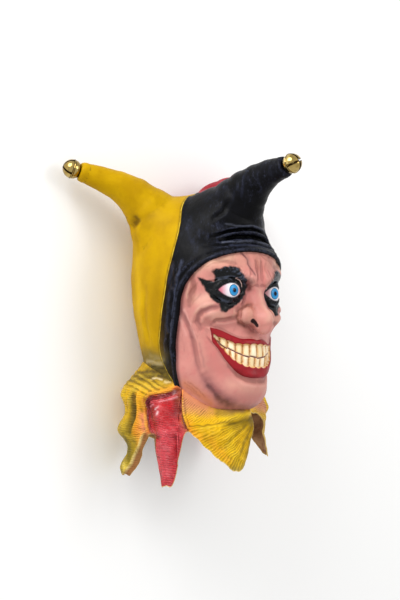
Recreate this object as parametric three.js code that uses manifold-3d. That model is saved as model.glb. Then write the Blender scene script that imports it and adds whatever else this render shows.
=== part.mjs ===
// A jester mask that goes over the whole head, cast in latex as one hollow skin: a grinning face, a hood
// with three horns and a ragged collar. A brass jingle bell hangs on each horn. It lies on its back.
//
// Millimetres. Every shape is worked out in the head's own frame: x to the wearer's left, y to the back of
// the head, z to the crown, z = 0 about level with the pupils. The last lines lay that frame down, face up.
// A heading is an angle round the head in degrees, from straight ahead towards the wearer's right.
import * as THREE from "three";
import { mergeVertices } from "three/addons/utils/BufferGeometryUtils.js";
import Module from "manifold-3d";

// The skin
const WALL = 3;
const PRESSED_EXTRA = 1; // the skin is this much thicker where it's pressed flat
const COLLAR_WALL = 2.6;
const FLOOR_Y = 100; // the back of the hood and collar is pressed flat here

// The skull: an upper half ellipsoid on a tapering lower half, about the axis x = 0, y = SKULL_Y
const SKULL_Y = 4.6;
const CROWN_Z = 126;
const HALF_WIDTH = [
  [70, 87], [50, 86.5], [30, 85.5], [10, 83.5], [0, 83],
  [-30, 81], [-60, 75], [-90, 68], [-115, 63], [-145, 61],
];
const FRONT_DEPTH = [
  [90, 84], [64, 86], [52, 93], [38, 96.5], [20, 94.5], [0, 88.5],
  [-30, 83], [-60, 79], [-90, 74], [-115, 58], [-145, 46],
];
const BACK_DEPTH = [
  [70, 103], [50, 102.5], [30, 101.5], [10, 99.5], [0, 99],
  [-30, 92], [-60, 85], [-90, 80], [-115, 78], [-145, 78],
];

// The face, symmetric in x: its swellings in order, each run softly into those before it, then the eyes
const SWELLINGS = [
  { what: "chin", at: [0, -52, -112], radii: [34, 33, 32], blend: 18 },
  { what: "jaw", from: [48, -12, -92], to: [18, -48, -116], radii: [19, 18], blend: 16 },
  { what: "muzzle", at: [0, -46, -75], radii: [41, 40, 40], blend: 14 },
  { what: "cheek", at: [44, -52, -24], radii: [22, 21, 17], blend: 12 },
  { what: "brow", from: [12, -83, 13], to: [51, -61.5, 26], radii: [10, 9.5], blend: 8 },
  { what: "bridge", from: [0, -76, 12], to: [0, -88, -32], radii: [9, 12], blend: 8 },
  { what: "nose tip", at: [0, -94, -35], radii: [12, 14, 11.5], blend: 7 },
  { what: "nostril wing", at: [15, -84, -31], radii: [9.5, 12, 9.5], blend: 5 },
];
const SOCKET = { at: [35.5, -86, -1], radii: [20, 16, 13.5], blend: 7 };
const EYEBALL = { at: [33.5, -64, -1], radii: [18, 18, 18], blend: 2 };
const MOUTH = { axisY: -46, halfWidth: 41, depth: 39.5, cornerAngle: 88, cornerZ: -45 };
const LIP_PROUD = 2.2;
const TEETH_BACK = 4.6;

// The hood: a layer proud of the face, with an arched opening. Its half width is an angle round the head,
// and below the cheeks it opens wider
const HOOD_PROUD = 4.5;
const HOOD_EDGE_BLEND = 1.5;
const OPENING = { halfAngle: 65, wider: 8, centreZ: -25, halfHeight: 71.5, power: 2.15, radius: 88 };

// The horns: a centre line as [distance from the hat's centre, height, radius], and a heading
const HAT_Y = 15;
const FRONT_HORN = [
  [20, 62, 50], [50, 92, 41], [67, 110, 33], [83, 122, 27],
  [102, 133, 21], [122, 140, 16.5], [147, 144, 12.5],
];
const BACK_HORN = [
  [30, 49, 54], [56, 86.2, 36.2], [69, 104.2, 30.2], [88, 121.2, 23.7],
  [110, 133.6, 18.6], [132, 141, 15], [157, 147.5, 11.8],
];
const HORNS = [
  { name: "front", heading: 0, line: FRONT_HORN },
  { name: "right", heading: 111, line: BACK_HORN },
  { name: "left", heading: -111, line: BACK_HORN },
];
const HORN_BLEND = 22;
const HORN_SOLID_TIP = 0.2; // the latex fills this share of each horn

// The collar: its top seam's height by heading, and six tails. A tip or a notch is [heading, height]; the
// notch follows its tail. Each side of a tail rises from tip to notch, all the way or between two shares
const PINCH = [
  [0, -143], [25, -141], [45, -130], [63, -114], [77, -104], [101, -91.5], [132, -83], [180, -81],
];
const COLLAR_Y = 20;
const TAILS = [
  { tip: [10, -215.5], before: [0, 0.72], after: null, notch: [50, -168] },
  { tip: [70, -234], before: [0.1, 0.92], after: [0.1, 0.95], notch: [88, -172] },
  { tip: [116, -222], before: [0.15, 1], after: [0.3, 1], notch: [152, -171] },
  { tip: [190, -184], before: [0.1, 0.85], after: [0.1, 0.92], notch: [216, -168] },
  { tip: [245, -194], before: [0.15, 0.9], after: [0.3, 0.95], notch: [273, -165] },
  { tip: [297, -200], before: [0.1, 0.95], after: [0.1, 0.9], notch: [326, -146] },
];
const COLLAR_RADIUS = [[0, 84], [45, 83], [72, 87], [110, 92], [140, 93], [180, 93]];
const LEFT_SWELL = [[-110, 0], [-119, 8], [-137, 8], [-148, 0]]; // on the wearer's left, by height

// The bells
const BELL = { r: 12, wall: 1, slot: 2.4, shankR: 3, shankLength: 8, gap: 0.3 };

const RAD = Math.PI / 180;
const clamp = (v, low, high) => Math.min(high, Math.max(low, v));
const mix = (a, b, t) => a + (b - a) * t;
const smooth = (low, high, v) => {
  const t = clamp((v - low) / (high - low), 0, 1);
  return t * t * (3 - 2 * t);
};
const sideAngle = (heading) => Math.abs(((((heading + 180) % 360) + 360) % 360) - 180);

// A smooth curve through [key, value] stations, with the keys in order, up or down
function track(stations) {
  const s = stations[0][0] > stations[stations.length - 1][0] ? [...stations].reverse() : stations;
  const slope = s.map((_, i) => {
    const a = s[Math.max(i - 1, 0)];
    const b = s[Math.min(i + 1, s.length - 1)];
    return (b[1] - a[1]) / (b[0] - a[0]);
  });
  return (key) => {
    const k = clamp(key, s[0][0], s[s.length - 1][0]);
    let i = 0;
    while (i < s.length - 2 && k > s[i + 1][0]) i++;
    const span = s[i + 1][0] - s[i][0];
    const t = (k - s[i][0]) / span;
    const rise = span * (slope[i] * t * (1 - t) ** 2 - slope[i + 1] * t * t * (1 - t));
    return mix(s[i][1], s[i + 1][1], t * t * (3 - 2 * t)) + rise;
  };
}

// Signed distances: below 0 inside
function union(a, b, k) {
  const h = Math.max(k - Math.abs(a - b), 0) / k;
  return Math.min(a, b) - (h * h * k) / 4;
}
const cut = (a, b, k) => -union(-a, b, k);

function ellipsoid(p, centre, radii) {
  const q = [p.x - centre[0], p.y - centre[1], p.z - centre[2]];
  const near = Math.hypot(q[0] / radii[0], q[1] / radii[1], q[2] / radii[2]);
  const far = Math.hypot(q[0] / radii[0] ** 2, q[1] / radii[1] ** 2, q[2] / radii[2] ** 2);
  return far < 1e-9 ? -Math.min(...radii) : (near * (near - 1)) / far;
}

function bar(p, a, b, ra, rb) {
  const d = [b[0] - a[0], b[1] - a[1], b[2] - a[2]];
  const q = [p.x - a[0], p.y - a[1], p.z - a[2]];
  const t = clamp((q[0] * d[0] + q[1] * d[1] + q[2] * d[2]) / (d[0] ** 2 + d[1] ** 2 + d[2] ** 2), 0, 1);
  return Math.hypot(q[0] - d[0] * t, q[1] - d[1] * t, q[2] - d[2] * t) - mix(ra, rb, t);
}

const halfWidth = track(HALF_WIDTH);
const frontDepth = track(FRONT_DEPTH);
const backDepth = track(BACK_DEPTH);

function skull(p) {
  const wide = halfWidth(p.z);
  const y = p.y - SKULL_Y;
  const deep = y < 0 ? frontDepth(p.z) : backDepth(p.z);
  return ellipsoid({ x: p.x, y, z: Math.max(p.z, 0) }, [0, 0, 0], [wide, deep, CROWN_Z]);
}

const openingHalf = (z) => OPENING.halfAngle + OPENING.wider * smooth(-15, -75, z);

// How far inside the hood's opening a point lies, measured over the surface: above 0 on the face
function opening(p) {
  const side = Math.abs(Math.atan2(p.x, SKULL_Y - p.y)) / RAD / openingHalf(p.z);
  const high = Math.max(p.z - OPENING.centreZ, 0) / OPENING.halfHeight;
  return (1 - (side ** OPENING.power + high ** OPENING.power) ** (1 / OPENING.power)) * OPENING.radius;
}

// The mouth's curves, by the share of the way from the middle to a corner
const CORNER = [1, MOUTH.cornerZ];
const UPPER_LIP_TOP = track([[0, -59.3], [0.14, -58], [0.37, -58], [0.57, -53.5], [0.77, -47.2], [1, -42.5]]);
const TEETH_TOP = track([[0, -64], [0.3, -64.4], [0.48, -63.5], [0.63, -59.6], [0.77, -55.6], CORNER]);
const BITE = track([[0, -81], [0.3, -78], [0.45, -75], [0.57, -71.5], [0.7, -67], [0.8, -61.6], CORNER]);
const TEETH_BOTTOM = track([
  [0, -93], [0.26, -91.4], [0.45, -86], [0.57, -80], [0.68, -72], [0.8, -62], CORNER,
]);
const LOWER_LIP_BOTTOM = track([
  [0, -105.2], [0.27, -103.6], [0.47, -97], [0.67, -82.5], [0.77, -71.5], [0.89, -60], [1, -47],
]);

function mouthShare(p) {
  const angle = Math.atan2(Math.abs(p.x) / MOUTH.halfWidth, (MOUTH.axisY - p.y) / MOUTH.depth);
  return angle / (MOUTH.cornerAngle * RAD);
}

// How far the lips stand out and the teeth lie back
function mouthRelief(p) {
  const share = mouthShare(p);
  if (share > 1.12) return 0;
  const s = Math.min(share, 1);
  const [top, bottom] = [UPPER_LIP_TOP(s), LOWER_LIP_BOTTOM(s)];
  const [teethTop, teethBottom] = [TEETH_TOP(s), TEETH_BOTTOM(s)];
  const lips = smooth(top + 2.5, top - 1.5, p.z) * smooth(bottom - 3, bottom + 2, p.z);
  const teeth = smooth(teethTop + 1, teethTop - 2, p.z) * smooth(teethBottom - 1, teethBottom + 2, p.z);
  return (1 - smooth(0.96, 1.12, share)) * (LIP_PROUD * lips - TEETH_BACK * teeth);
}

function face(p, hasMouth) {
  const m = { x: Math.abs(p.x), y: p.y, z: p.z };
  let f = skull(m);
  for (const s of SWELLINGS) {
    const swelling = s.at ? ellipsoid(m, s.at, s.radii) : bar(m, s.from, s.to, s.radii[0], s.radii[1]);
    f = union(f, swelling, s.blend);
  }
  f = cut(f, ellipsoid(m, SOCKET.at, SOCKET.radii), SOCKET.blend);
  f = union(f, ellipsoid(m, EYEBALL.at, EYEBALL.radii), EYEBALL.blend);
  return hasMouth ? f - mouthRelief(m) : f;
}

const hood = (p) => Math.max(skull(p) - HOOD_PROUD, opening(p));

// The head with its hood, without the horns
const head = (p) => union(face(p, true), hood(p), HOOD_EDGE_BLEND);

// The hollow inside: it backs off behind the teeth, and doesn't follow the lips
function hollow(p) {
  const smoothed = union(face(p, false), hood(p), HOOD_EDGE_BLEND);
  return Math.max(head(p), smoothed, p.y - FLOOR_Y + PRESSED_EXTRA) + WALL;
}

function hornPoint(horn, [reach, z]) {
  const turn = horn.heading * RAD;
  return [-Math.sin(turn) * reach, HAT_Y - Math.cos(turn) * reach, z];
}

function hornDistance(horn, p) {
  let f = Infinity;
  for (let i = 0; i + 1 < horn.line.length; i++) {
    const [a, b] = [horn.line[i], horn.line[i + 1]];
    f = Math.min(f, bar(p, hornPoint(horn, a), hornPoint(horn, b), a[2], b[2]));
  }
  return f;
}

const withHorns = (f, p) => HORNS.reduce((sum, horn) => union(sum, hornDistance(horn, p), HORN_BLEND), f);
const wholeHead = (p) => withHorns(head(p), p);
const outside = (p) => Math.max(wholeHead(p), p.y - FLOOR_Y);
const inside = (p) => withHorns(hollow(p) - WALL, p) + WALL;

const FAR = 160; // further than any surface lies from the middle of the head

// The distance along a ray from inside a shape to its surface, no further than the limit
function reachSurface(shape, origin, direction, limit) {
  const at = (r) => shape(origin.clone().addScaledVector(direction, r));
  const step = 3;
  let far = step;
  while (far < limit && at(far) < 0) far += step;
  if (far >= limit && at(limit) < 0) return limit;
  let near = far - step;
  for (let i = 0; i < 14; i++) {
    const middle = (near + far) / 2;
    if (at(middle) < 0) near = middle;
    else far = middle;
  }
  return Math.min(near, limit);
}

// A unit vector at a heading, tilted up
function ray(heading, tilt) {
  const a = heading * RAD;
  return new THREE.Vector3(-Math.sin(a) * Math.cos(tilt), -Math.cos(a) * Math.cos(tilt), Math.sin(tilt));
}

function geometry(points, index) {
  const made = new THREE.BufferGeometry();
  const numbers = points.flatMap((p) => [p.x, p.y, p.z]);
  made.setAttribute("position", new THREE.Float32BufferAttribute(numbers, 3));
  made.setIndex(index);
  return made;
}

// Two triangles for each cell between rings of points; the last ring joins the first if looped. From ring
// number turned on, cells split on their other diagonal, so that an inner wall matches its outer one
function ringFaces(rings, looped, turned = Infinity) {
  const n = rings[0].length;
  const index = [];
  const last = looped ? rings.length : rings.length - 1;
  for (let i = 0; i < last; i++)
    for (let j = 0; j < n; j++) {
      const below = ((i + 1) % rings.length) * n;
      const [a, b] = [i * n + j, i * n + ((j + 1) % n)];
      const [c, d] = [below + j, below + ((j + 1) % n)];
      index.push(...(i < turned ? [a, b, c, b, d, c] : [a, b, d, a, d, c]));
    }
  return index;
}

// A closed surface through rings of points, from one pole to the other
function closedRings(rings, firstPole, lastPole) {
  const n = rings[0].length;
  const index = ringFaces(rings, false);
  const last = (rings.length - 1) * n;
  for (let j = 0; j < n; j++) {
    index.push(rings.length * n, (j + 1) % n, j);
    index.push(rings.length * n + 1, last + j, last + ((j + 1) % n));
  }
  return geometry([...rings.flat(), firstPole, lastPole], index);
}

const OUTSIDE_EDGE = 3; // degrees and millimetres from the hood's edge to the grid's next line

// Headings round the head: close together over the face, with one just outside the hood's edge
function columns(faceCount, backCount) {
  const half = OPENING.halfAngle;
  const edge = half + OUTSIDE_EDGE;
  const angles = [-edge];
  for (let i = 0; i <= faceCount; i++) angles.push(-half + (2 * half * i) / faceCount);
  angles.push(edge);
  for (let i = 1; i < backCount; i++) angles.push(edge + ((360 - 2 * edge) * i) / backCount);
  return angles;
}

const pinchTrack = track(PINCH);
const pinchHeight = (heading) => pinchTrack(sideAngle(heading));

// The heights of one column's rows: on the features in front, evenly spread at the sides
function rowHeights(heading, rowStep) {
  const angle = sideAngle(heading);
  const cheek = ray(heading, 0).multiplyScalar(82);
  const t = Math.min(mouthShare(cheek), 1);
  const [lip, teeth, bite] = [UPPER_LIP_TOP(t), TEETH_TOP(t), BITE(t)];
  const [under, chin] = [TEETH_BOTTOM(t), LOWER_LIP_BOTTOM(t)];
  const top = OPENING.centreZ + OPENING.halfHeight;
  const brow = [top + OUTSIDE_EDGE, top, 39, 32, 25, 18, 12, 6, 0, -6, -12, -18, -25, -31, -37, -43];
  const upper = [mix(-43, lip, 0.6), lip + 1.5, lip - 2, teeth - 1.5, bite];
  const lower = [under + 1.5, mix(under, chin, 0.4), chin + 1, chin - 5, mix(chin, -143, 0.6), -137, -146];
  const front = [...brow, ...upper, ...lower];
  const picked = front.filter((_, i) => i % rowStep === 0 || i < 2 || i === front.length - 1);
  const last = pinchHeight(heading);
  const side = smooth(28, 50, angle);
  return picked.map((z, i) => {
    const even = mix(top, last, (i - 1) / (picked.length - 2));
    return i < 2 ? z : mix(z, even, side);
  });
}

// Shapes the square grid of headings and heights to the hood's arch
function bend(heading, z) {
  const side = sideAngle(heading) / OPENING.halfAngle;
  const high = Math.max(z - OPENING.centreZ, 0) / OPENING.halfHeight;
  const most = Math.max(side, high);
  const reach = (side ** OPENING.power + high ** OPENING.power) ** (1 / OPENING.power);
  const pull = mix(1, most / Math.max(reach, 1e-6), smooth(2, 1.05, most));
  const turned = ((heading + 540) % 360) - 180;
  const wider = mix(1, openingHalf(z) / OPENING.halfAngle, smooth(2, 1.05, side));
  return [turned * pull * wider, OPENING.centreZ + (z - OPENING.centreZ) * (high > 0 ? pull : 1)];
}

const DOME_Z = 62;

// The head as one closed grid round its axis, on the surface of the bare head or, where a horn swells it,
// on that of the whole head
function headSolid(whole, bare, { faceCount, backCount, domeRows, rowStep, drop, hornLimit }) {
  const headings = columns(faceCount, backCount);
  const toSurface = (origin, direction) => {
    const own = reachSurface(bare, origin, direction, FAR);
    const reach = reachSurface(whole, origin, direction, own + hornLimit);
    return origin.clone().addScaledVector(direction, reach);
  };
  const heights = headings.map((heading) => rowHeights(heading, rowStep));
  const middle = new THREE.Vector3(0, SKULL_Y, DOME_Z);
  const rings = [];
  for (let i = 1; i <= domeRows; i++) {
    const tilt = (Math.PI / 2) * (1 - i / domeRows);
    rings.push(headings.map((heading) => toSurface(middle, ray(heading, tilt))));
  }
  const firstFaceRow = rings.length;
  heights[0].forEach((_, i) => {
    rings.push(headings.map((heading, j) => {
      const [turned, z] = bend(heading, heights[j][i]);
      const y = mix(SKULL_Y, COLLAR_Y, smooth(-40, -140, z));
      return toSurface(new THREE.Vector3(0, y, z), ray(turned, 0));
    }));
  });
  relax(rings, firstFaceRow, bare);
  rings.push(rings[rings.length - 1].map((p) => new THREE.Vector3(p.x, p.y, p.z - drop)));
  const top = toSurface(middle, new THREE.Vector3(0, 0, 1));
  const bottom = new THREE.Vector3(0, COLLAR_Y, Math.min(...rings[rings.length - 1].map((p) => p.z)));
  return closedRings(rings, top, bottom);
}

// Evens out the face's grid over the surface, with the points on the hood's edge held
function relax(rings, firstRow, shape) {
  const passes = 3;
  const n = rings[0].length;
  for (let pass = 0; pass < passes; pass++) {
    const before = rings.map((ring) => ring.map((p) => p.clone()));
    for (let i = firstRow + 2; i < rings.length - 1; i++)
      for (let j = 0; j < n; j++) {
        const p = rings[i][j];
        if (Math.abs(opening(p)) < 6 || opening(p) < 0) continue;
        const beside = [before[i][(j + 1) % n], before[i][(j + n - 1) % n]];
        const around = [before[i - 1][j], before[i + 1][j], ...beside];
        const mean = around.reduce((sum, q) => sum.add(q), new THREE.Vector3()).multiplyScalar(0.25);
        p.lerp(mean, 0.45);
        settle(p, shape);
      }
  }
}

// Moves a point along the slope of a shape's distance onto its surface
function settle(p, shape) {
  const h = 0.4;
  for (let i = 0; i < 3; i++) {
    const f = shape(p);
    const slope = new THREE.Vector3(
      shape(p.clone().setX(p.x + h)) - f,
      shape(p.clone().setY(p.y + h)) - f,
      shape(p.clone().setZ(p.z + h)) - f,
    ).divideScalar(h);
    p.addScaledVector(slope, -clamp(f, -2, 2) / Math.max(slope.lengthSq(), 0.3));
  }
}

function hornCurve(horn) {
  const points = horn.line.map((station) => new THREE.Vector3(...hornPoint(horn, station)));
  return new THREE.CatmullRomCurve3(points, false, "centripetal");
}

// A horn as rings square to its centre line, from inside the head to its tip
function hornSolid(horn, { sides, sections, shape, inset, end }) {
  const curve = hornCurve(horn);
  const last = horn.line.length - 1;
  const radius = track(horn.line.map((s, i) => [i / last, s[2]]));
  const across = ray(horn.heading + 90, 0);
  const rings = [];
  for (let i = 0; i <= sections; i++) {
    const t = (i / sections) * end;
    const centre = curve.getPoint(t);
    const up = curve.getTangent(t).cross(across).normalize();
    const limit = radius(t) - inset + mix(-3, 4, smooth(0, 0.35, t));
    rings.push(Array.from({ length: sides }, (_, j) => {
      const a = (2 * Math.PI * j) / sides;
      const out = across.clone().multiplyScalar(Math.cos(a)).addScaledVector(up, Math.sin(a));
      return centre.clone().addScaledVector(out, reachSurface(shape, centre, out, limit));
    }));
  }
  return closedRings(rings, curve.getPoint(0), curve.getPoint(end));
}

// One side of each tail, from its tip to a notch
function tailSides() {
  return TAILS.flatMap((tail, i) => {
    const last = TAILS[(i + TAILS.length - 1) % TAILS.length].notch;
    const notchBefore = i === 0 ? [last[0] - 360, last[1]] : last;
    const before = { tip: tail.tip, notch: notchBefore, shape: tail.before, fromTip: false };
    return [before, { tip: tail.tip, notch: tail.notch, shape: tail.after, fromTip: true }];
  });
}

// How far the collar's lower edge has risen from tip to notch, at a share of the way
function edgeRise(share, shape) {
  const round = 0.15;
  if (shape) return smooth(shape[0], shape[1], share);
  return (Math.hypot(share, round) - round) / (Math.hypot(1, round) - round);
}

const collarRadius = track(COLLAR_RADIUS);
const leftSwell = track(LEFT_SWELL);

// The collar's outer surface: it leaves the head at the pinch, flares, and hangs in folds
function collarReach(heading, z, atHead, tipness) {
  const side = sideAngle(heading);
  const drop = pinchHeight(heading) - z;
  const flare = smooth(-4, 34, drop);
  const sag = -5 * smooth(60, 120, drop);
  const fold = (tipness - 0.5) * 13 * smooth(15, 75, drop);
  const curl = Math.sin((z + 132) / 7.4) * 4.5 * smooth(95, 125, side) * smooth(20, 45, drop);
  const turned = ((heading + 540) % 360) - 180;
  const swell = leftSwell(z) * smooth(-40, -65, turned) * smooth(-110, -85, turned) * smooth(2, 14, drop);
  return mix(atHead + 1.5, collarRadius(side) + sag + fold + curl, flare) + swell;
}

function collarSolid({ perSide, rows }) {
  const outer = Array.from({ length: rows + 1 }, () => []);
  const inner = Array.from({ length: rows + 1 }, () => []);
  for (const side of tailSides())
    for (let j = 0; j < perSide; j++) {
      const share = side.fromTip ? j / perSide : 1 - j / perSide;
      const heading = mix(side.tip[0], side.notch[0], share);
      const edge = mix(side.tip[1], side.notch[1], edgeRise(share, side.shape));
      addCollarColumn(outer, inner, heading, edge, 1 - smooth(0, 1, share));
    }
  const rings = [...outer, ...[...inner].reverse()];
  return geometry(rings.flat(), ringFaces(rings, true, outer.length));
}

function addCollarColumn(outer, inner, heading, edge, tipness) {
  const rows = outer.length - 1;
  const top = pinchHeight(heading) + 5;
  const out = ray(heading, 0);
  const level = new THREE.Vector3(0, COLLAR_Y, pinchHeight(heading) + 1);
  const atHead = reachSurface(wholeHead, level, out, FAR);
  for (let i = 0; i <= rows; i++) {
    const z = mix(top, edge, (i / rows) ** 1.1);
    const reach = collarReach(heading, z, atHead, tipness);
    const place = (radius, backmost) => {
      const p = new THREE.Vector3(0, COLLAR_Y, z).addScaledVector(out, radius);
      p.y = Math.min(p.y, backmost);
      return p;
    };
    outer[i].push(place(reach, FLOOR_Y));
    inner[i].push(place(reach - COLLAR_WALL, FLOOR_Y - COLLAR_WALL));
  }
}

// The jingle bell: its axis is z, its shank at the top and its crossed slots at the bottom
function makeBell() {
  const ball = (r, across, around) => new THREE.SphereGeometry(r, around, across).rotateX(Math.PI / 2);
  const shell = ball(BELL.r, 8, 12);
  const inside = ball(BELL.r - BELL.wall, 5, 8);
  const shank = new THREE.CylinderGeometry(BELL.shankR, BELL.shankR, BELL.shankLength, 6);
  shank.rotateX(Math.PI / 2).translate(0, 0, BELL.r - BELL.wall + BELL.shankLength / 2);
  const slots = [1, 3].map((quarter) => {
    const slot = new THREE.BoxGeometry(BELL.r * 1.7, BELL.slot, BELL.r);
    return slot.rotateZ((quarter * Math.PI) / 4).translate(0, 0, -BELL.r * 0.7);
  });
  const cuts = slots.reduce((sum, slot) => sum.add(solid(slot)), solid(inside));
  return solid(shell).add(solid(shank)).subtract(cuts);
}

// Each bell's place: its shank runs back into the horn's tip
function bellPlace(horn) {
  const curve = hornCurve(horn);
  const out = curve.getTangent(1);
  const place = new THREE.Object3D();
  place.quaternion.setFromUnitVectors(new THREE.Vector3(0, 0, -1), out);
  place.position.copy(curve.getPoint(1)).addScaledVector(out, BELL.r + BELL.gap);
  place.updateMatrix();
  return place.matrix;
}

const wasm = await Module();
wasm.setup();

function solid(made) {
  const bare = made.clone();
  bare.deleteAttribute("normal");
  bare.deleteAttribute("uv");
  const merged = mergeVertices(bare, 1e-4);
  return new wasm.Manifold(new wasm.Mesh({
    numProp: 3,
    vertProperties: merged.attributes.position.array,
    triVerts: new Uint32Array(merged.index.array),
  }));
}

function toGeometry(manifold) {
  const made = manifold.getMesh();
  const position = new Float32Array(made.numVert * 3);
  for (let i = 0; i < made.numVert; i++)
    position.set(made.vertProperties.subarray(i * made.numProp, i * made.numProp + 3), i * 3);
  return new THREE.BufferGeometry()
    .setAttribute("position", new THREE.BufferAttribute(position, 3))
    .setIndex(new THREE.BufferAttribute(made.triVerts, 1));
}

function makeMask() {
  const bare = (p) => Math.max(head(p), p.y - FLOOR_Y);
  const outerGrid = { faceCount: 28, backCount: 18, domeRows: 5, rowStep: 1, drop: 4, hornLimit: 12 };
  const innerGrid = { faceCount: 12, backCount: 12, domeRows: 4, rowStep: 2, drop: 90, hornLimit: 9 };
  const outerHorn = { sides: 12, sections: 11, shape: outside, inset: 0, end: 1 };
  const innerHorn = { sides: 8, sections: 6, shape: inside, inset: WALL, end: 1 - HORN_SOLID_TIP };
  let skin = solid(headSolid(outside, bare, outerGrid));
  let cavity = solid(headSolid(inside, hollow, innerGrid));
  for (const horn of HORNS) {
    skin = skin.add(solid(hornSolid(horn, outerHorn)));
    cavity = cavity.add(solid(hornSolid(horn, innerHorn)));
  }
  skin = skin.subtract(cavity).add(solid(collarSolid({ perSide: 5, rows: 6 })));
  for (const horn of HORNS) {
    const r = BELL.shankR + BELL.gap;
    const socket = new THREE.CylinderGeometry(r, r, BELL.shankLength + 2, 10);
    socket.rotateX(Math.PI / 2).translate(0, 0, BELL.r + BELL.gap + BELL.shankLength / 2);
    socket.applyMatrix4(bellPlace(horn));
    skin = skin.subtract(solid(socket));
  }
  return skin;
}

function finish(color, roughness, metalness) {
  return new THREE.MeshStandardMaterial({ color, roughness, metalness });
}

function named(name, manifold, material) {
  const made = new THREE.Mesh(toGeometry(manifold), material);
  made.name = name;
  return made;
}

const mask = new THREE.Group();
mask.add(named("latex_mask", makeMask(), finish(0x26262c, 0.5, 0)));
const bell = makeBell();
const brass = finish(0xc8a24a, 0.25, 0.95);
for (const horn of HORNS) {
  const made = named("bell_" + horn.name + "_horn", bell, brass);
  made.applyMatrix4(bellPlace(horn));
  mask.add(made);
}

// Laid on its back: the face looks up, the crown points along +Y. The origin is under the middle of its box
mask.rotation.x = -Math.PI / 2;
mask.position.z = FLOOR_Y;
const middle = new THREE.Box3().setFromObject(mask, true).getCenter(new THREE.Vector3());
mask.position.x -= middle.x;
mask.position.y -= middle.y;
const part = new THREE.Group();
part.add(mask);

export default part;
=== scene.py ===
import math

import bmesh
import bpy
import numpy as np
from mathutils import Matrix, Vector


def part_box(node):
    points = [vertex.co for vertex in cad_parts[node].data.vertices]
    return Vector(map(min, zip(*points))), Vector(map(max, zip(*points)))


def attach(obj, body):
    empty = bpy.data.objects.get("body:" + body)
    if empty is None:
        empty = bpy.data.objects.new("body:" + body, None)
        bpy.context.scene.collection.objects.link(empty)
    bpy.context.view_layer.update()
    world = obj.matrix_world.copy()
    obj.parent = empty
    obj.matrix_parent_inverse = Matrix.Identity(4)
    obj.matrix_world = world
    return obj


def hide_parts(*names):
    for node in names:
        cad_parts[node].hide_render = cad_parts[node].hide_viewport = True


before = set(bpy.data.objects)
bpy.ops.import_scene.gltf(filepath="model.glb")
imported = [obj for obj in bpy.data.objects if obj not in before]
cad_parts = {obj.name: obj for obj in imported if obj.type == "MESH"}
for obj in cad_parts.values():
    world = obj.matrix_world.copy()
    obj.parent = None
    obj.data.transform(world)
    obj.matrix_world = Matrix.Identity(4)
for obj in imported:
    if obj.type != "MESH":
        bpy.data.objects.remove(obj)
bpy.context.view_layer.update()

# The head's own frame, in millimetres: x to the wearer's left, y to the back of the head, z to the crown.
# Laid on its back, the mask has X = x, Y = z + SHIFT and Z = FLOOR_Y - y.
TIP_Z = -234.0  # the longest tail's tip
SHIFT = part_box("latex_mask")[0][1] * 1000 - TIP_Z
FLOOR_Y = 100.0
WALL = 3.0
COLLAR_WALL = 2.6
THIN_EDGE = 0.9  # the collar's wall at its torn edge
OFF_FLOOR = 0.05  # the collar stays this far above the floor

SKULL_Y = 4.6
CROWN_Z = 126.0
HALF_WIDTH = [  # rows of height and half width; the two depths have such rows too
    [70, 87], [50, 86.5], [30, 85.5], [10, 83.5], [0, 83],
    [-30, 81], [-60, 75], [-90, 68], [-115, 63], [-145, 61],
]
FRONT_DEPTH = [
    [90, 84], [64, 86], [52, 93], [38, 96.5], [20, 94.5], [0, 88.5],
    [-30, 83], [-60, 79], [-90, 74], [-115, 58], [-145, 46],
]
BACK_DEPTH = [
    [70, 103], [50, 102.5], [30, 101.5], [10, 99.5], [0, 99],
    [-30, 92], [-60, 85], [-90, 80], [-115, 78], [-145, 78],
]
EYE = (33.5, -64.0, -1.0)
EYE_R = 18.0
NOSTRIL = ((15.4, -92.0, -36.6), (10.0, -94.0, -42.3))
MOUTH_Y, MOUTH_HALF, MOUTH_DEPTH = -46.0, 41.0, 39.5  # the ellipse that the mouth curves round
MOUTH_CORNER, MOUTH_Z = 88.0, -45.0  # the corners' angle round that ellipse and their height
HOOD_PROUD = 4.5  # how far the hood stands out from the skull
# The hood's opening: half its width in degrees, how much wider it gets below, where its top starts,
# the top's height, its roundness, and the millimetres that a share of 1 stands for.
OPENING = dict(half=65.0, wider=8.0, z=-25.0, high=71.5, power=2.15, radius=88.0)
HAT_Y = 15.0  # the hat's axis
FRONT_HORN = [  # rows of reach from the hat's axis, height and radius, from root to tip
    [20, 62, 50], [50, 92, 41], [67, 110, 33], [83, 122, 27],
    [102, 133, 21], [122, 140, 16.5], [147, 144, 12.5],
]
BACK_HORN = [
    [30, 49, 54], [56, 86.2, 36.2], [69, 104.2, 30.2], [88, 121.2, 23.7],
    [110, 133.6, 18.6], [132, 141, 15], [157, 147.5, 11.8],
]
LEFT_HORN = [
    [30, 49, 54], [50, 92, 54], [70, 113.5, 45.5], [90, 130.5, 36],
    [110, 139.5, 26], [132, 143.5, 17], [157, 147.5, 11.8],
]
# Each horn's name, heading and line.
HORNS = [("front", 0.0, FRONT_HORN), ("right", 111.0, BACK_HORN), ("left", -111.0, LEFT_HORN)]
VALLEY = ((-27, -4, 143), (17, 16, 19))  # behind the black horn's root, on the wearer's right
HORN_BLEND = dict(front=22.0, right=22.0, left=9.0)
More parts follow.
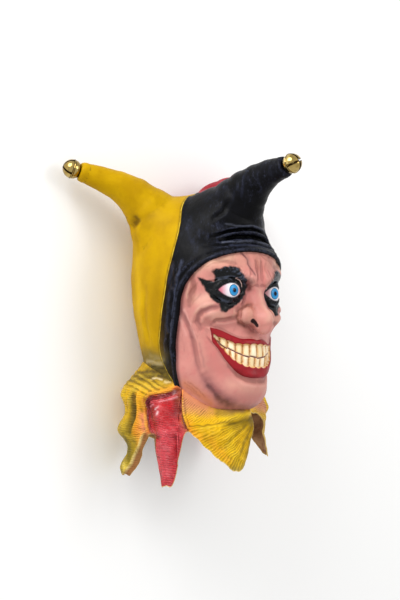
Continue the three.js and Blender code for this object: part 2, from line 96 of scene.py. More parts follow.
# The height at which the collar meets the head, at headings from the front to the back.
PINCH = [[0, -143], [25, -141], [45, -130], [63, -114], [77, -104], [101, -91.5], [132, -83], [180, -81]]
COLLAR_Y = 20.0  # the collar's axis
TAILS = [  # each tail's tip, the shape of its edge before and after it, and the next notch
    ((10, -215.5), (0, 0.72), None, (50, -168)),
    ((70, TIP_Z), (0.17, 0.92), (0.17, 0.95), (88, -172)),
    ((116, -222), (0.15, 1.0), (0.3, 1.0), (152, -171)),
    ((190, -184), (0.1, 0.85), (0.1, 0.92), (216, -168)),
    ((245, -194), (0.15, 0.9), (0.3, 0.95), (273, -165)),
    ((297, -200), (0.1, 0.95), (0.1, 0.9), (326, -146)),
]
# Rows of height and swell on the wearer's left, and of heading and radius all round.
LEFT_SWELL = [[-110, 0], [-119, 8], [-137, 8], [-148, 0]]
COLLAR_RADIUS = [[0, 84], [45, 83], [72, 87], [110, 92], [140, 93], [180, 93]]
BELL_R, BELL_GAP, SHANK_R, SHANK = 12.0, 0.3, 3.0, 8.0
CUP_DEPTH, CUP_GAP = 3.4, 0.4  # each horn's tip has a cup that its bell sits in
RAD = math.pi / 180
PER_DEGREE = 1.5  # millimetres round the head or the collar for each degree of heading


# Arithmetic on arrays.

def track(stations):
    """A smooth curve through (key, value) stations."""
    s = sorted(map(tuple, stations))
    k = np.array([a for a, _ in s], float)
    v = np.array([b for _, b in s], float)
    slope = np.array([
        (v[min(i + 1, len(k) - 1)] - v[max(i - 1, 0)]) / (k[min(i + 1, len(k) - 1)] - k[max(i - 1, 0)])
        for i in range(len(k))
    ])

    def curve(key):
        x = np.clip(np.asarray(key, float), k[0], k[-1])
        i = np.clip(np.searchsorted(k, x, side="right") - 1, 0, len(k) - 2)
        span = k[i + 1] - k[i]
        t = (x - k[i]) / span
        rise = span * (slope[i] * t * (1 - t) ** 2 - slope[i + 1] * t * t * (1 - t))
        return v[i] + (v[i + 1] - v[i]) * t * t * (3 - 2 * t) + rise

    return curve


def smooth(low, high, v):
    t = np.clip((v - low) / (high - low), 0, 1)
    return t * t * (3 - 2 * t)


def mix(a, b, t):
    return a + (b - a) * t


def hump(v, middle, width):
    """1 at a middle value, falling off smoothly on both sides."""
    return np.exp(-(((v - middle) / width) ** 2))


def window(v, start, full, fading, gone):
    """0 at start, 1 from full to fading, and 0 again at gone."""
    return smooth(start, full, v) * smooth(gone, fading, v)


def union(a, b, k):
    h = np.maximum(k - np.abs(a - b), 0) / k
    return np.minimum(a, b) - h * h * k / 4


def cut(a, b, k):
    return -union(-a, b, k)


def ellipsoid(x, y, z, c, r):
    qx, qy, qz = x - c[0], y - c[1], z - c[2]
    near = np.sqrt((qx / r[0]) ** 2 + (qy / r[1]) ** 2 + (qz / r[2]) ** 2)
    far = np.sqrt((qx / r[0] ** 2) ** 2 + (qy / r[1] ** 2) ** 2 + (qz / r[2] ** 2) ** 2)
    return near * (near - 1) / np.maximum(far, 1e-9)


def along(x, y, z, a, b):
    """The distance to a segment, and the share of the way along it."""
    a, b = np.array(a, float), np.array(b, float)
    d = b - a
    qx, qy, qz = x - a[0], y - a[1], z - a[2]
    t = np.clip((qx * d[0] + qy * d[1] + qz * d[2]) / (d @ d), 0, 1)
    return np.sqrt((qx - d[0] * t) ** 2 + (qy - d[1] * t) ** 2 + (qz - d[2] * t) ** 2), t


def from_point(x, y, z, c):
    return np.sqrt((x - c[0]) ** 2 + (y - c[1]) ** 2 + (z - c[2]) ** 2)


def bar(x, y, z, a, b, ra, rb):
    dist, t = along(x, y, z, a, b)
    return dist - (ra + (rb - ra) * t)


def waves(x, y, z, size, seed):
    """Soft lumps of about one size, from -1 to 1."""
    rng = np.random.default_rng(seed)
    total = np.zeros(np.shape(x))
    for _ in range(9):
        d = rng.normal(size=3)
        d *= rng.uniform(0.7, 1.4) * 2 * math.pi / size / np.linalg.norm(d)
        total = total + np.sin(x * d[0] + y * d[1] + z * d[2] + rng.uniform(0, 6.28))
    return total / 4.5


# The head as a signed distance.

half_width, front_depth, back_depth = track(HALF_WIDTH), track(FRONT_DEPTH), track(BACK_DEPTH)


def skull(x, y, z):
    """The head without features: an ellipse at each height, closed by a dome above z = 0."""
    wide = half_width(z)
    yy = y - SKULL_Y
    deep = np.where(yy < 0, front_depth(z), back_depth(z))
    up = np.maximum(z, 0)
    near = np.sqrt((x / wide) ** 2 + (yy / deep) ** 2 + (up / CROWN_Z) ** 2)
    far = np.sqrt((x / wide ** 2) ** 2 + (yy / deep ** 2) ** 2 + (up / CROWN_Z ** 2) ** 2)
    return near * (near - 1) / np.maximum(far, 1e-9)


def opening(x, y, z):
    """How far inside the hood's opening a point lies: above 0 on the face."""
    half = OPENING["half"] + OPENING["wider"] * smooth(-15, -75, z)
    side = np.abs(np.arctan2(x, SKULL_Y - y)) / RAD / half
    high = np.maximum(z - OPENING["z"], 0) / OPENING["high"]
    p = OPENING["power"]
    return (1 - (side ** p + high ** p) ** (1 / p)) * OPENING["radius"]


# The mouth's lines, as rows of share of the way to the corner and height.
corner = [1, MOUTH_Z]
upper_lip = track([[0, -59.3], [0.14, -58], [0.37, -58], [0.57, -53.5], [0.77, -47.2], [1, -42.5]])
teeth_top = track([[0, -64], [0.3, -64.4], [0.48, -63.5], [0.63, -59.6], [0.77, -55.6], corner])
bite_line = track([[0, -81], [0.3, -78], [0.45, -75], [0.57, -71.5], [0.7, -67], [0.8, -61.6], corner])
teeth_bottom = track([[0, -93], [0.26, -91.4], [0.45, -86], [0.57, -80], [0.68, -72], [0.8, -62], corner])
lower_lip = track([
    [0, -105.2], [0.27, -103.6], [0.47, -97], [0.67, -82.5], [0.77, -71.5], [0.89, -60], [1, -47],
])
# The gaps between teeth, as angles round the mouth.
UPPER_GAPS = [-68.3, -55.7, -42.0, -29.2, -15.6, 0, 15.6, 29.2, 42.0, 55.7, 68.3]
LOWER_GAPS = [-60.4, -51.1, -42.0, -33.0, -24.8, -8.1, 4.8, 17.7, 30.2, 41.1, 51.1, 60.4]


def mouth_angle(x, y):
    """The angle round the mouth in degrees, above 0 on the wearer's right."""
    return np.arctan2(-x / MOUTH_HALF, (MOUTH_Y - y) / MOUTH_DEPTH) / RAD


def tooth(t, gaps):
    """The share across a tooth, from -1 to 1, its width in degrees, and a number for each tooth."""
    g = np.array([gaps[0] - 12.0] + list(gaps) + [gaps[-1] + 12.0])
    i = np.clip(np.searchsorted(g, t) - 1, 0, len(g) - 2)
    width = g[i + 1] - g[i]
    return (t - g[i]) / width * 2 - 1, width, i


def mouth_facts(x, y, z):
    """Where a point lies by the mouth: its lines' heights, and millimetres inside lips and teeth."""
    t = mouth_angle(x, y)
    share = np.minimum(np.abs(t) / MOUTH_CORNER, 1.2)
    s = np.minimum(share, 1)
    on = 1 - smooth(0.96, 1.12, share)
    top, bottom = upper_lip(s) - 6.5 * smooth(0.15, 0.5, s) * (t < 0), lower_lip(s)
    gum, low, bite = teeth_top(s), teeth_bottom(s), bite_line(s)
    across_u, width_u, number_u = tooth(t, UPPER_GAPS)
    across_l, width_l, number_l = tooth(t, LOWER_GAPS)
    gum = gum - 1.6 * np.abs(across_u) ** 2.6 + 0.5
    low = low + 1.6 * np.abs(across_l) ** 2.6 - 0.5
    bite = bite + 0.7 * np.sin(number_u * 2.3 + 0.6)
    is_upper = z > bite
    across = np.where(is_upper, across_u, across_l)
    width = np.where(is_upper, width_u, width_l) * 0.69
    return dict(
        share=share, on=on, top=top, bottom=bottom, gum=gum, low=low, bite=bite, across=across,
        side_gap=(1 - np.abs(across)) * width / 2, number=np.where(is_upper, number_u, number_l + 20),
        lips=np.minimum(np.minimum(top - z, z - bottom), (0.862 - share) * 61),
        teeth=np.minimum(np.minimum(gum - z, z - low), (0.84 - share) * 61),
    )


def mouth_relief(x, y, z):
    """How far the lips stand out and the teeth lie back, with each tooth's own crown."""
    m = mouth_facts(x, y, z)
    lips = smooth(m["top"] + 2.2, m["top"] - 2.4, z) * smooth(m["bottom"] - 2.8, m["bottom"] + 3.0, z)
    teeth = smooth(-0.4, 1.7, m["teeth"])
    crown = 1 - np.clip(np.abs(m["across"]), 0, 1) ** 3.2
    to_bite = np.abs(z - m["bite"])
    crown = crown * smooth(-0.2, 1.7, to_bite) * smooth(-0.3, 1.6, m["teeth"])
    relief = 2.2 * lips - teeth * (5.2 - 2.0 * crown)
    groove = hump(z, m["top"] + 0.4, 1.1) + hump(z, m["bottom"] - 0.4, 1.2)
    return (1 - smooth(0.84, 0.95, m["share"])) * (relief - 0.35 * groove)


def eye_opening(x, y, z):
    """Millimetres inside the lids' almond, above 0 on the bare eyeball."""
    az = np.arctan2(x - EYE[0], EYE[1] - y) / RAD
    el = np.arcsin(np.clip((z - EYE[2]) / np.maximum(from_point(x, y, z, EYE), 1e-6), -1, 1)) / RAD
    s = np.clip((az - 11) / 57, -1.3, 1.3)
    return np.minimum(27.5 * (1 - s * s) - el, el + 29 * (1 - s * s)) * 0.3


def face(x, y, z):
    """The skull with chin, cheeks, brows and nose, and with hollows for the eyes."""
    x = np.abs(x)
    f = skull(x, y, z)
    f = union(f, ellipsoid(x, y, z, (0, -52, -112), (34, 33, 32)), 18)
    f = union(f, bar(x, y, z, (48, -12, -92), (18, -48, -116), 19, 18), 16)
    f = union(f, ellipsoid(x, y, z, (0, -46, -75), (41, 40, 40)), 14)
    f = union(f, ellipsoid(x, y, z, (44, -52, -24), (22, 21, 17)), 12)
    f = union(f, bar(x, y, z, (12, -83, 13), (51, -61.5, 26), 10, 9.5), 8)
    f = union(f, bar(x, y, z, (0, -76, 12), (0, -88, -32), 9, 12), 8)
    f = union(f, ellipsoid(x, y, z, (0, -94.5, -35.5), (11.2, 14, 12)), 7)
    f = union(f, ellipsoid(x, y, z, (0, -96.5, -43.5), (8.2, 10.5, 10)), 4)
    f = union(f, ellipsoid(x, y, z, (16.0, -84, -31), (9.6, 10.8, 10.2)), 4.5)
    return cut(f, ellipsoid(x, y, z, (35.5, -86, -1), (20, 16, 13.5)), 7)


def lids_and_eye(f, x, y, z):
    """The eyelids round the eyeball, run into the face, and the nostrils."""
    x = np.abs(x)
    ball = from_point(x, y, z, EYE)
    lid = cut(ball - (EYE_R + 1.9), np.maximum(-eye_opening(x, y, z), y - EYE[1] - 4), 0.9)
    f = union(f, lid, 3.5)
    almond = np.maximum(-eye_opening(x, y, z), ball - (EYE_R + 6))
    f = cut(f, np.maximum(almond, y - EYE[1]), 1.4)
    f = np.minimum(f, ball - EYE_R)
    return cut(f, bar(x, y, z, *NOSTRIL, 1.5, 2.3), 1.2)


def hood(x, y, z):
    """The skull grown by the hood's thickness, left open round the face."""
    return -union(HOOD_PROUD - skull(x, y, z), -opening(x, y, z), 3.0)


def horn_point(heading, reach, z):
    """A point at a heading and a reach from the hat's axis."""
    a = heading * RAD
    return (-math.sin(a) * reach, HAT_Y - math.cos(a) * reach, z)


def horn_end(heading, line):
    """The middle of a horn's end, and the direction in which it points."""
    p, q = (np.array(horn_point(heading, *line[i][:2])) for i in (-2, -1))
    return q, (q - p) / np.linalg.norm(q - p)


def horns(f, x, y, z):
    """Runs the three horns into a shape, each cut off square with a cup for its bell."""
    for name, heading, line in HORNS:
        g = None
        for a, b in zip(line, line[1:]):
            c = bar(x, y, z, horn_point(heading, a[0], a[1]), horn_point(heading, b[0], b[1]), a[2], b[2])
            g = c if g is None else np.minimum(g, c)
        q, d = horn_end(heading, line)
        end = (x - q[0]) * d[0] + (y - q[1]) * d[1] + (z - q[2]) * d[2]
        f = union(f, -union(-g, CUP_DEPTH - end, 3.0), HORN_BLEND[name])
        cup = from_point(x, y, z, q + d * (BELL_R + BELL_GAP)) - (BELL_R + CUP_GAP)
        f = cut(f, cup, 0.8)
    return cut(f, ellipsoid(x, y, z, *VALLEY), 9)


pinch = track(PINCH)


def collar_heading(x, y):
    return np.arctan2(-x, COLLAR_Y - y) / RAD


def neck(x, y, z):
    """Above 0 below the line where the head ends inside the collar."""
    return pinch(np.abs(collar_heading(x, y))) - 4 - z


def outer_shape(x, y, z, fine=True):
    """Face, hood and horns, cut flat at the back, with or without the lids and eyes."""
    f = union(face(x, y, z), hood(x, y, z), 1.5)
    if fine:
        f = lids_and_eye(f, x, y, z)
    f = horns(f, x, y, z)
    return np.maximum(f, y - FLOOR_Y)


def inner_shape(x, y, z):
    """The cavity: the outer shape less the wall."""
    f = union(face(x, y, z), hood(x, y, z), 1.5)
    thick = np.maximum(f, f - mouth_relief_mean(x, y, z))
    fold, _ = along(np.abs(x), y, z, (43, -60, 64), (0, -77, 70))
    thicker = 3.5 * hump(fold, 0, 15)  # behind the hood's deep folds
    return np.maximum(horns(thick, x, y, z), y - FLOOR_Y + 1) + WALL + thicker


def mouth_relief_mean(x, y, z):
    """The mouth's relief without the single teeth, for the cavity."""
    m = mouth_facts(x, y, z)
    lips = smooth(m["top"] + 2.5, m["top"] - 1.5, z) * smooth(m["bottom"] - 3, m["bottom"] + 2, z)
    teeth = smooth(-1, 2, m["teeth"])
    return m["on"] * (2.2 * lips - 5.2 * teeth)


# Creases and folds. Each crease of the face has a depth, a width, a darkness, which is painted shade
# in the crease, and its points on the wearer's left, which are mirrored.

CREASES = {
    "forehead": (0.5, 1.3, 0.1, [
        (26, -81, 46), (17.6, -83, 37), (13.8, -86, 28), (16.4, -90.6, 18), (18, -87, 8),
    ]),
    "frown": (1.2, 2.8, 0.2, [(5, -84, 40), (4.2, -86, 32), (3.4, -89, 21), (4, -90, 10)]),
    "brow_top": (0.8, 4.5, 0.25, [(57.6, -64, 31.7), (46.7, -71, 33), (35.6, -78, 31), (26.6, -83, 27)]),
    "laugh": (1.7, 2.4, 0.42, [
        (25, -82, -31), (28, -74, -34), (39.3, -70, -36.4), (50, -66.6, -37), (53, -61.6, -42),
    ]),
    "cheek": (2.0, 3.4, 0.42, [
        (48.3, -72.6, -21.7), (57.6, -67.8, -23), (64.6, -58.5, -27), (65.5, -51.6, -32), (63.5, -47.5, -39),
        (60.3, -49, -46.4),
    ]),
    "temple": (1.3, 3.6, 0.35, [(68.5, -46.7, 14.4), (67.5, -46.7, 1.7), (70, -41.8, -7), (70, -41, -18.5)]),
    "side": (1.2, 3.6, 0.1, [
        (74.5, -31.5, -25.8), (70.4, -34.6, -36), (65.4, -38.6, -48.7), (61.2, -39.6, -63.9),
        (56.7, -40.3, -84), (53.2, -42.2, -97),
    ]),
    "side_front": (0.5, 4.0, 0.06, [(62, -44, -58), (60, -43, -72), (55, -46, -88), (47, -50, -104)]),
    "jaw": (1.1, 8.0, 0.1, [
        (53.2, -42.2, -97), (50, -43.2, -102), (43.4, -48.4, -116), (35.5, -51.1, -127.3), (27, -57.4, -134),
    ]),
    "under_lip": (1.5, 3.4, 0.3, [
        (32.6, -70.4, -92), (24, -76, -101), (15.5, -82, -107), (3, -85.5, -108.6), (0, -85.6, -108.7),
    ]),
    "eye_bag": (1.0, 1.5, 0.5, [(15.7, -79.8, -6.3), (17, -79, -14), (18.6, -78, -18)]),
    "lid_fold": (1.7, 1.6, 0.3, [
        (57, -59, 8), (47, -70, 12.5), (38, -77, 14), (28, -82, 11.5), (21.5, -83, 5), (19.5, -81.5, -2),
    ]),
    "bag_fold": (1.1, 1.7, 0.3, [
        (56, -62, -6), (47, -70, -13), (37, -74, -16.5), (27, -76, -15), (20.5, -78, -8),
    ]),
    "nose_wing": (1.0, 2.2, 0.3, [
        (12.5, -86, -17), (19.4, -81.5, -21.9), (25, -82.5, -30), (20, -81.4, -38.5), (10, -83, -44.6),
    ]),
    "philtrum": (1.2, 2.4, 0.2, [(0, -88, -47), (0, -87, -57)]),
    "nose_bridge": (0.7, 2.0, 0.3, [(0, -90, 5), (8, -88, 6), (14, -84.5, 6)]),
}
CREASE_GAIN = 1.55
BROW = [(54, -66, 20), (45, -73, 23), (36, -80, 24), (28, -85, 20), (23, -87, 13)]
HOOD_FOLDS = [  # depth, width, darkness as painted shade in the fold, points as heading and height
    (3.0, 1.9, 0.8, [(39.4, 63.5), (24.4, 70), (8.9, 74), (0, 75)]),
    (4.2, 2.6, 0.95, [(30.9, 59), (17.4, 64.2), (0, 66)]),
    (1.8, 1.8, 0.4, [(44.9, 51), (25.8, 54), (2.2, 57), (0, 57.2)]),
    (1.6, 2.8, 0.3, [(35.9, 86.6), (26.4, 95), (23.4, 105)]),
    (2.6, 5.5, 0.5, [(109.8, 98), (108.7, 90), (113.7, 84)]),
    (1.6, 6.0, 0.15, [(107.2, 53), (98.6, 60)]),
    (1.3, 5.0, 0.12, [(101.6, 10), (104.3, -25), (103.6, -60)]),
]


def polyline(x, y, z, points):
    """The distance to a chain of segments, and the share of the way along it."""
    best, where = None, None
    n = len(points) - 1
    for i, (a, b) in enumerate(zip(points, points[1:])):
        dist, t = along(x, y, z, a, b)
        if best is None:
            best, where = dist, t / n
        else:
            closer = dist < best
            best = np.where(closer, dist, best)
            where = np.where(closer, (i + t) / n, where)
    return best, where


def from_line(heading, z, points):
    """The distance to a line given as heading and height, measured along the surface."""
    return polyline(heading * PER_DEGREE, z, z * 0, [(a * PER_DEGREE, b, 0) for a, b in points])


def from_fold(x, y, z, points):
    """The distance to a fold of the hood, on either side, and the share along it."""
    return from_line(np.arctan2(np.abs(x), SKULL_Y - y) / RAD, z, points)


def creases(x, y, z, inside_face):
    """Relief and painted shade of every crease, faded at its ends."""
    x = np.abs(x)
    relief, dark = np.zeros(len(x)), np.zeros(len(x))
    on_face = smooth(-0.5, 1.5, inside_face)
    for depth, width, darkness, points in CREASES.values():
        dist, t = polyline(x, y, z, points)
        start = 1 if points[0][0] == 0 else smooth(0, 0.25, t)
        end = 1 if points[-1][0] == 0 else smooth(1, 0.75, t)
        fade = 0.35 + 0.65 * start * end
        line = hump(dist, 0, width) * fade * on_face
        swell = hump(dist, width * 2.0, width * 1.2) * fade * on_face
        relief = relief + CREASE_GAIN * depth * (0.25 * swell - line)
        dark = np.maximum(dark, darkness * line)
    for depth, width, darkness, points in HOOD_FOLDS:
        dist, t = from_fold(x, y, z, points)
        fade = 0.3 + 0.7 * smooth(0, 0.3, t) * (1 if points[-1][0] == 0 else smooth(1.3, 0.75, t))
        line = hump(dist, 0, width) * fade * (1 - on_face)
        swell = hump(dist, width * 1.9, width * 1.1) * fade * (1 - on_face)
        relief = relief - depth * line + 0.4 * depth * swell
        dark = np.maximum(dark, darkness * line)
    return relief, dark


seam_angle = track([  # rows of height and the heading of the seam between black and colour
    [126, 66], [107.9, 64.8], [81.5, 61.3], [51.1, 62.8], [22.2, 67.1], [-5.7, 70.9], [-33.8, 75.4],
    [-61.5, 81.0], [-83.8, 80.7], [-106.8, 71.1], [-125, 66],
])


def sectors(x, y, z):
    """Millimetres inside the black front sector, and to the wearer's left of the middle."""
    a = np.arctan2(-x, HAT_Y - y) / RAD
    radius = np.sqrt(x * x + (y - HAT_Y) ** 2)
    return (seam_angle(z) - np.abs(a)) * RAD * np.minimum(radius, 90), x


def horn_shares(x, y, z):
    """Millimetres from each horn's end, along its axis, for points near that horn."""
    best = np.full(len(x), 999.0)
    for _, heading, line in HORNS:
        q, d = horn_end(heading, line)
        s = -((x - q[0]) * d[0] + (y - q[1]) * d[1] + (z - q[2]) * d[2])
        best = np.where(from_point(x, y, z, q) < 45, s, best)
    return best


def relief(x, y, z):
    """Everything finer than the head's main shapes, in millimetres outwards."""
    inside = opening(x, y, z)
    r, _ = creases(x, y, z, inside)
    r = r + mouth_relief(x, y, z) * smooth(0, 3, inside)
    brow, t = polyline(np.abs(x), y, z, BROW)
    tuft = hump(brow, 0, 4.2) * smooth(-0.1, 0.2, t)
    strand = np.sin((np.abs(x) * 0.9 + z * 0.55) * 1.5 + waves(x, y, z, 8, 3) * 3.2)
    r = r + tuft * (1.5 + 0.4 * strand + 0.4 * waves(x, y, z, 4, 4))
    out = -inside
    beside = smooth(42, 22, z)
    fade = 0.75 + 0.25 * waves(x, y, z, 30, 5)
    rim = hump(out, 3.4, 2.3) * 1.3 - hump(out, 8.2, 1.5) * 1.7 * mix(0.45, 1, beside)
    rim = rim + (hump(out, 12, 2.2) * 1.2 - hump(out, 16.5, 1.4) * 1.2) * beside * fade
    black, _ = sectors(x, y, z)
    on_hood = smooth(1, 4, out)
    piping = hump(black, 1.0, 1.2) * 0.8 - hump(black, -1.6, 1.0) * 0.4
    back_seam = hump(x, 0, 1.2) * 0.6 * smooth(-10, -20, black)
    s = horn_shares(x, y, z)
    ring = hump(s, 2.5, 2.4) * 0.5 - hump(s, 6.5, 1.1) * 0.8
    gather = np.sin(np.arctan2(x, z) * 40) * 0.15 * smooth(14, 3, s)
    r = r + on_hood * (rim + piping + back_seam)
    r = r + np.where(s < 60, ring + gather, 0)
    lumps = waves(x, y, z, 46, 7) * 0.55 * on_hood + waves(x, y, z, 17, 8) * mix(0.16, 0.12, on_hood)
    return r + lumps * smooth(-2, 4, FLOOR_Y - y)


# From signed distance to mesh.

def surface_net(shape, low, high, h):
    """Quads round the zero level of a shape, by dual contouring with averaged crossings."""
    low = np.array(low, float)
    n = np.ceil((np.array(high) - low) / h).astype(int) + 1
    xs, ys, zs = (low[k] + h * np.arange(n[k]) for k in range(3))
    f = np.empty(n, np.float32)
    gx, gy = np.meshgrid(xs, ys, indexing="ij")
    for k, z in enumerate(zs):
        f[:, :, k] = shape(gx, gy, np.full_like(gx, z))
    cells = n - 1
    total = int(np.prod(cells))
    count, sums = np.zeros(total), np.zeros((total, 3))
    crossings = []
    for axis in range(3):
        lower = [slice(None)] * 3
        upper = [slice(None)] * 3
        lower[axis], upper[axis] = slice(0, -1), slice(1, None)
        a, b = f[tuple(lower)], f[tuple(upper)]
        idx = np.argwhere((a < 0) != (b < 0))
        va, vb = a[tuple(idx.T)], b[tuple(idx.T)]
        p = idx.astype(float)
        p[:, axis] += va / (va - vb)
        o1, o2 = (axis + 1) % 3, (axis + 2) % 3
        ring = []
        for d1, d2 in ((-1, -1), (0, -1), (0, 0), (-1, 0)):
            c = idx.copy()
            c[:, o1] += d1
            c[:, o2] += d2
            ok = ((c >= 0) & (c < cells)).all(1)
            flat = np.ravel_multi_index(np.clip(c, 0, cells - 1).T, cells)
            flat = np.where(ok, flat, -1)
            ring.append(flat)
            np.add.at(count, flat[ok], 1)
            for k in range(3):
                sums[:, k] += np.bincount(flat[ok], weights=p[ok, k], minlength=total)
        ring = np.stack(ring, 1)
        ring[va > 0] = ring[va > 0][:, ::-1]
        crossings.append(ring[(ring >= 0).all(1)])
    quads = np.concatenate(crossings)
    used = np.flatnonzero(count)
    number = np.full(total, -1)
    number[used] = np.arange(len(used))
    points = sums[used] / count[used, None] * h + low
    return points, number[quads]


def edges_of(faces):
    pairs = np.array([(a, b) for f in faces for a, b in zip(f, f[1:] + f[:1])])
    return np.unique(np.sort(pairs, 1), axis=0)


def slope(shape, p, h=0.35):
    """A shape's value at points and its gradient there."""
    x, y, z = p.T
    f = shape(x, y, z)
    moved = np.stack([shape(x + h, y, z), shape(x, y + h, z), shape(x, y, z + h)], 1)
    return f, (moved - f[:, None]) / h


def settle(p, shape, fine=None, steps=3, most=3.0, share=1.0):
    """Moves points onto the zero level of a shape with its fine relief."""
    for _ in range(steps):
        f, g = slope(shape, p)
        if fine is not None:
            f = f - fine(p[:, 0], p[:, 1], p[:, 2])
        p = p - share * g * (np.clip(f, -most, most) / np.maximum((g * g).sum(1), 0.3))[:, None]
    return p


def even_out(p, edges, amount, free):
    """Pulls each point towards the mean of its neighbours, unless its value in free is 0."""
    n = len(p)
    a, b = edges.T
    degree = np.bincount(edges.ravel(), minlength=n)
    mean = np.zeros_like(p)
    for k in range(3):
        mean[:, k] = np.bincount(a, p[b, k], n) + np.bincount(b, p[a, k], n)
    mean /= np.maximum(degree, 1)[:, None]
    return p + (mean - p) * (amount * free[:, None])


def refine(points, faces, chosen):
    """Splits the chosen quads in four; their neighbours take the new points on shared edges."""
    points = list(map(tuple, points))
    middle = {}
    made = []

    def between(a, b):
        key = (a, b) if a < b else (b, a)
        if key not in middle:
            middle[key] = len(points)
            pa, pb = points[a], points[b]
            points.append(((pa[0] + pb[0]) / 2, (pa[1] + pb[1]) / 2, (pa[2] + pb[2]) / 2))
        return middle[key]

    for face_points in (f for f, c in zip(faces, chosen) if c):
        a, b, c, d = face_points
        ab, bc, cd, da = between(a, b), between(b, c), between(c, d), between(d, a)
        centre = len(points)
        points.append(tuple(sum(points[i][k] for i in face_points) / 4 for k in range(3)))
        made += [(a, ab, centre, da), (ab, b, bc, centre), (centre, bc, c, cd), (da, centre, cd, d)]
    for face_points in (f for f, c in zip(faces, chosen) if not c):
        ring = []
        for a, b in zip(face_points, face_points[1:] + face_points[:1]):
            ring.append(a)
            key = (a, b) if a < b else (b, a)
            if key in middle:
                ring.append(middle[key])
        made.append(tuple(ring))
    return np.array(points), made


def link(name, data):
    made = bpy.data.objects.new(name, data)
    bpy.context.scene.collection.objects.link(made)
    return made


def laid_point(p):
    """A point of the head's frame, laid down, in metres."""
    return Vector((p[0], p[2] + SHIFT, FLOOR_Y - p[1])) / 1000


def laid(v):
    """A direction of the head's frame, laid down."""
    return Vector((v[0], v[2], -v[1]))


def make_object(name, points, faces):
    """An object from points of the head's frame, laid down."""
    metres = np.stack([points[:, 0], points[:, 2] + SHIFT, FLOOR_Y - points[:, 1]], 1) / 1000
    mesh = bpy.data.meshes.new(name)
    mesh.from_pydata(metres.tolist(), [], [list(map(int, f)) for f in faces])
    mesh.update()
    return link(name, mesh)


def mesh_points(mesh):
    p = np.empty(len(mesh.vertices) * 3)
    mesh.vertices.foreach_get("co", p)
    return p.reshape(-1, 3)


def head_points(mesh):
    p = mesh_points(mesh) * 1000
    return np.stack([p[:, 0], FLOOR_Y - p[:, 2], p[:, 1] - SHIFT], 1)


def cut_with(target, cutter):
    """Takes one object's volume out of another, and removes it."""
    m = target.modifiers.new("cut", "BOOLEAN")
    m.operation = "DIFFERENCE"
    m.solver = "EXACT"
    m.object = cutter
    got = bpy.data.meshes.new_from_object(target.evaluated_get(bpy.context.evaluated_depsgraph_get()))
    target.modifiers.remove(m)
    old = target.data
    target.data = got
    bpy.data.meshes.remove(old)
    bpy.data.objects.remove(cutter)


# The boxes that the two grids fill, and the height at which the cavity ends below the neck.
LOW, HIGH = (-158, -140, -152), (158, 104, 174)
INNER_LOW, INNER_HIGH, INNER_CUT = (-150, -130, -178), (150, 101, 168), -172
GRID = 3.05
CAVITY_GRID = 5.4


def closed_outer(x, y, z, fine=True):
    return np.maximum(outer_shape(x, y, z, fine), neck(x, y, z))


def coarse_outer(x, y, z):
    return closed_outer(x, y, z, False)


def surface(x, y, z):
    """The outer shape with its relief: 0 on the finished skin."""
    return closed_outer(x, y, z) - relief(x, y, z)


def free_points(points):
    """0 on the flat back and at the neck, where points stay, and 1 elsewhere."""
    flat = (points[:, 1] > FLOOR_Y - 2) | (neck(*points.T) > -2)
    return np.where(flat, 0.0, 1.0)


def needs_detail(level, x, y, z):
    """Where quads are split: first the face and the folds above it, then eyes, nose, lips and folds."""
    inside = opening(x, y, z)
    if level == 0:
        on_face = (inside > -7) & (y < 20) & (z > -140)
        return on_face | ((inside < 0) & (z > 40) & (z < 92) & (np.abs(x) < 62) & (y < -20))
    eye = np.sqrt((np.abs(x) - 36) ** 2 + (z - 2) ** 2) < 26
    nose = (np.abs(x) < 28) & (z < -14) & (z > -50)
    m = mouth_facts(x, y, z)
    lips = (m["lips"] > -3) & (m["share"] < 1.06)
    chosen = ((eye & (z < 27)) | nose | lips) & (inside > 4) & (y < -40)
    for fold in HOOD_FOLDS[:2]:
        chosen = chosen | ((from_fold(x, y, z, fold[3])[0] < 7) & (y < -20) & (inside < 0))
    return chosen


def build_outer():
    """The outer skin: a coarse net, evened out, split where detail needs it, and settled."""
    points, quads = surface_net(coarse_outer, LOW, HIGH, GRID)
    faces = [tuple(q) for q in quads.tolist()]
    edges = edges_of(faces)
    free = free_points(points)
    for _ in range(2):
        points = even_out(points, edges, 0.5, free)
        points = settle(points, coarse_outer, steps=1)
    for level in range(2):
        centre = np.array([points[list(f)].mean(0) for f in faces])
        chosen = needs_detail(level, *centre.T) & np.array([len(f) == 4 for f in faces])
        points, faces = refine(points, faces, chosen)
    edges = edges_of(faces)
    free = free_points(points)
    points = settle(points, closed_outer, relief, steps=4, share=0.75)
    for _ in range(2):
        points = even_out(points, edges, 0.3, free)
        points = settle(points, closed_outer, relief, steps=3, share=0.7)
    return points, faces


def build_inner():
    """The cavity's skin."""
    def shape(x, y, z):
        return np.maximum(inner_shape(x, y, z), INNER_CUT - z)
    points, quads = surface_net(shape, INNER_LOW, INNER_HIGH, CAVITY_GRID)
    points = settle(points, shape, steps=2)
    return points, [tuple(q) for q in quads.tolist()]


# The collar.

FOLD_SCALE = 1.6  # millimetres for each degree of heading at the side tail's folds
COLLAR_COLUMNS, COLLAR_ROWS = ((540, 84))
collar_radius, left_swell = track(COLLAR_RADIUS), track(LEFT_SWELL)


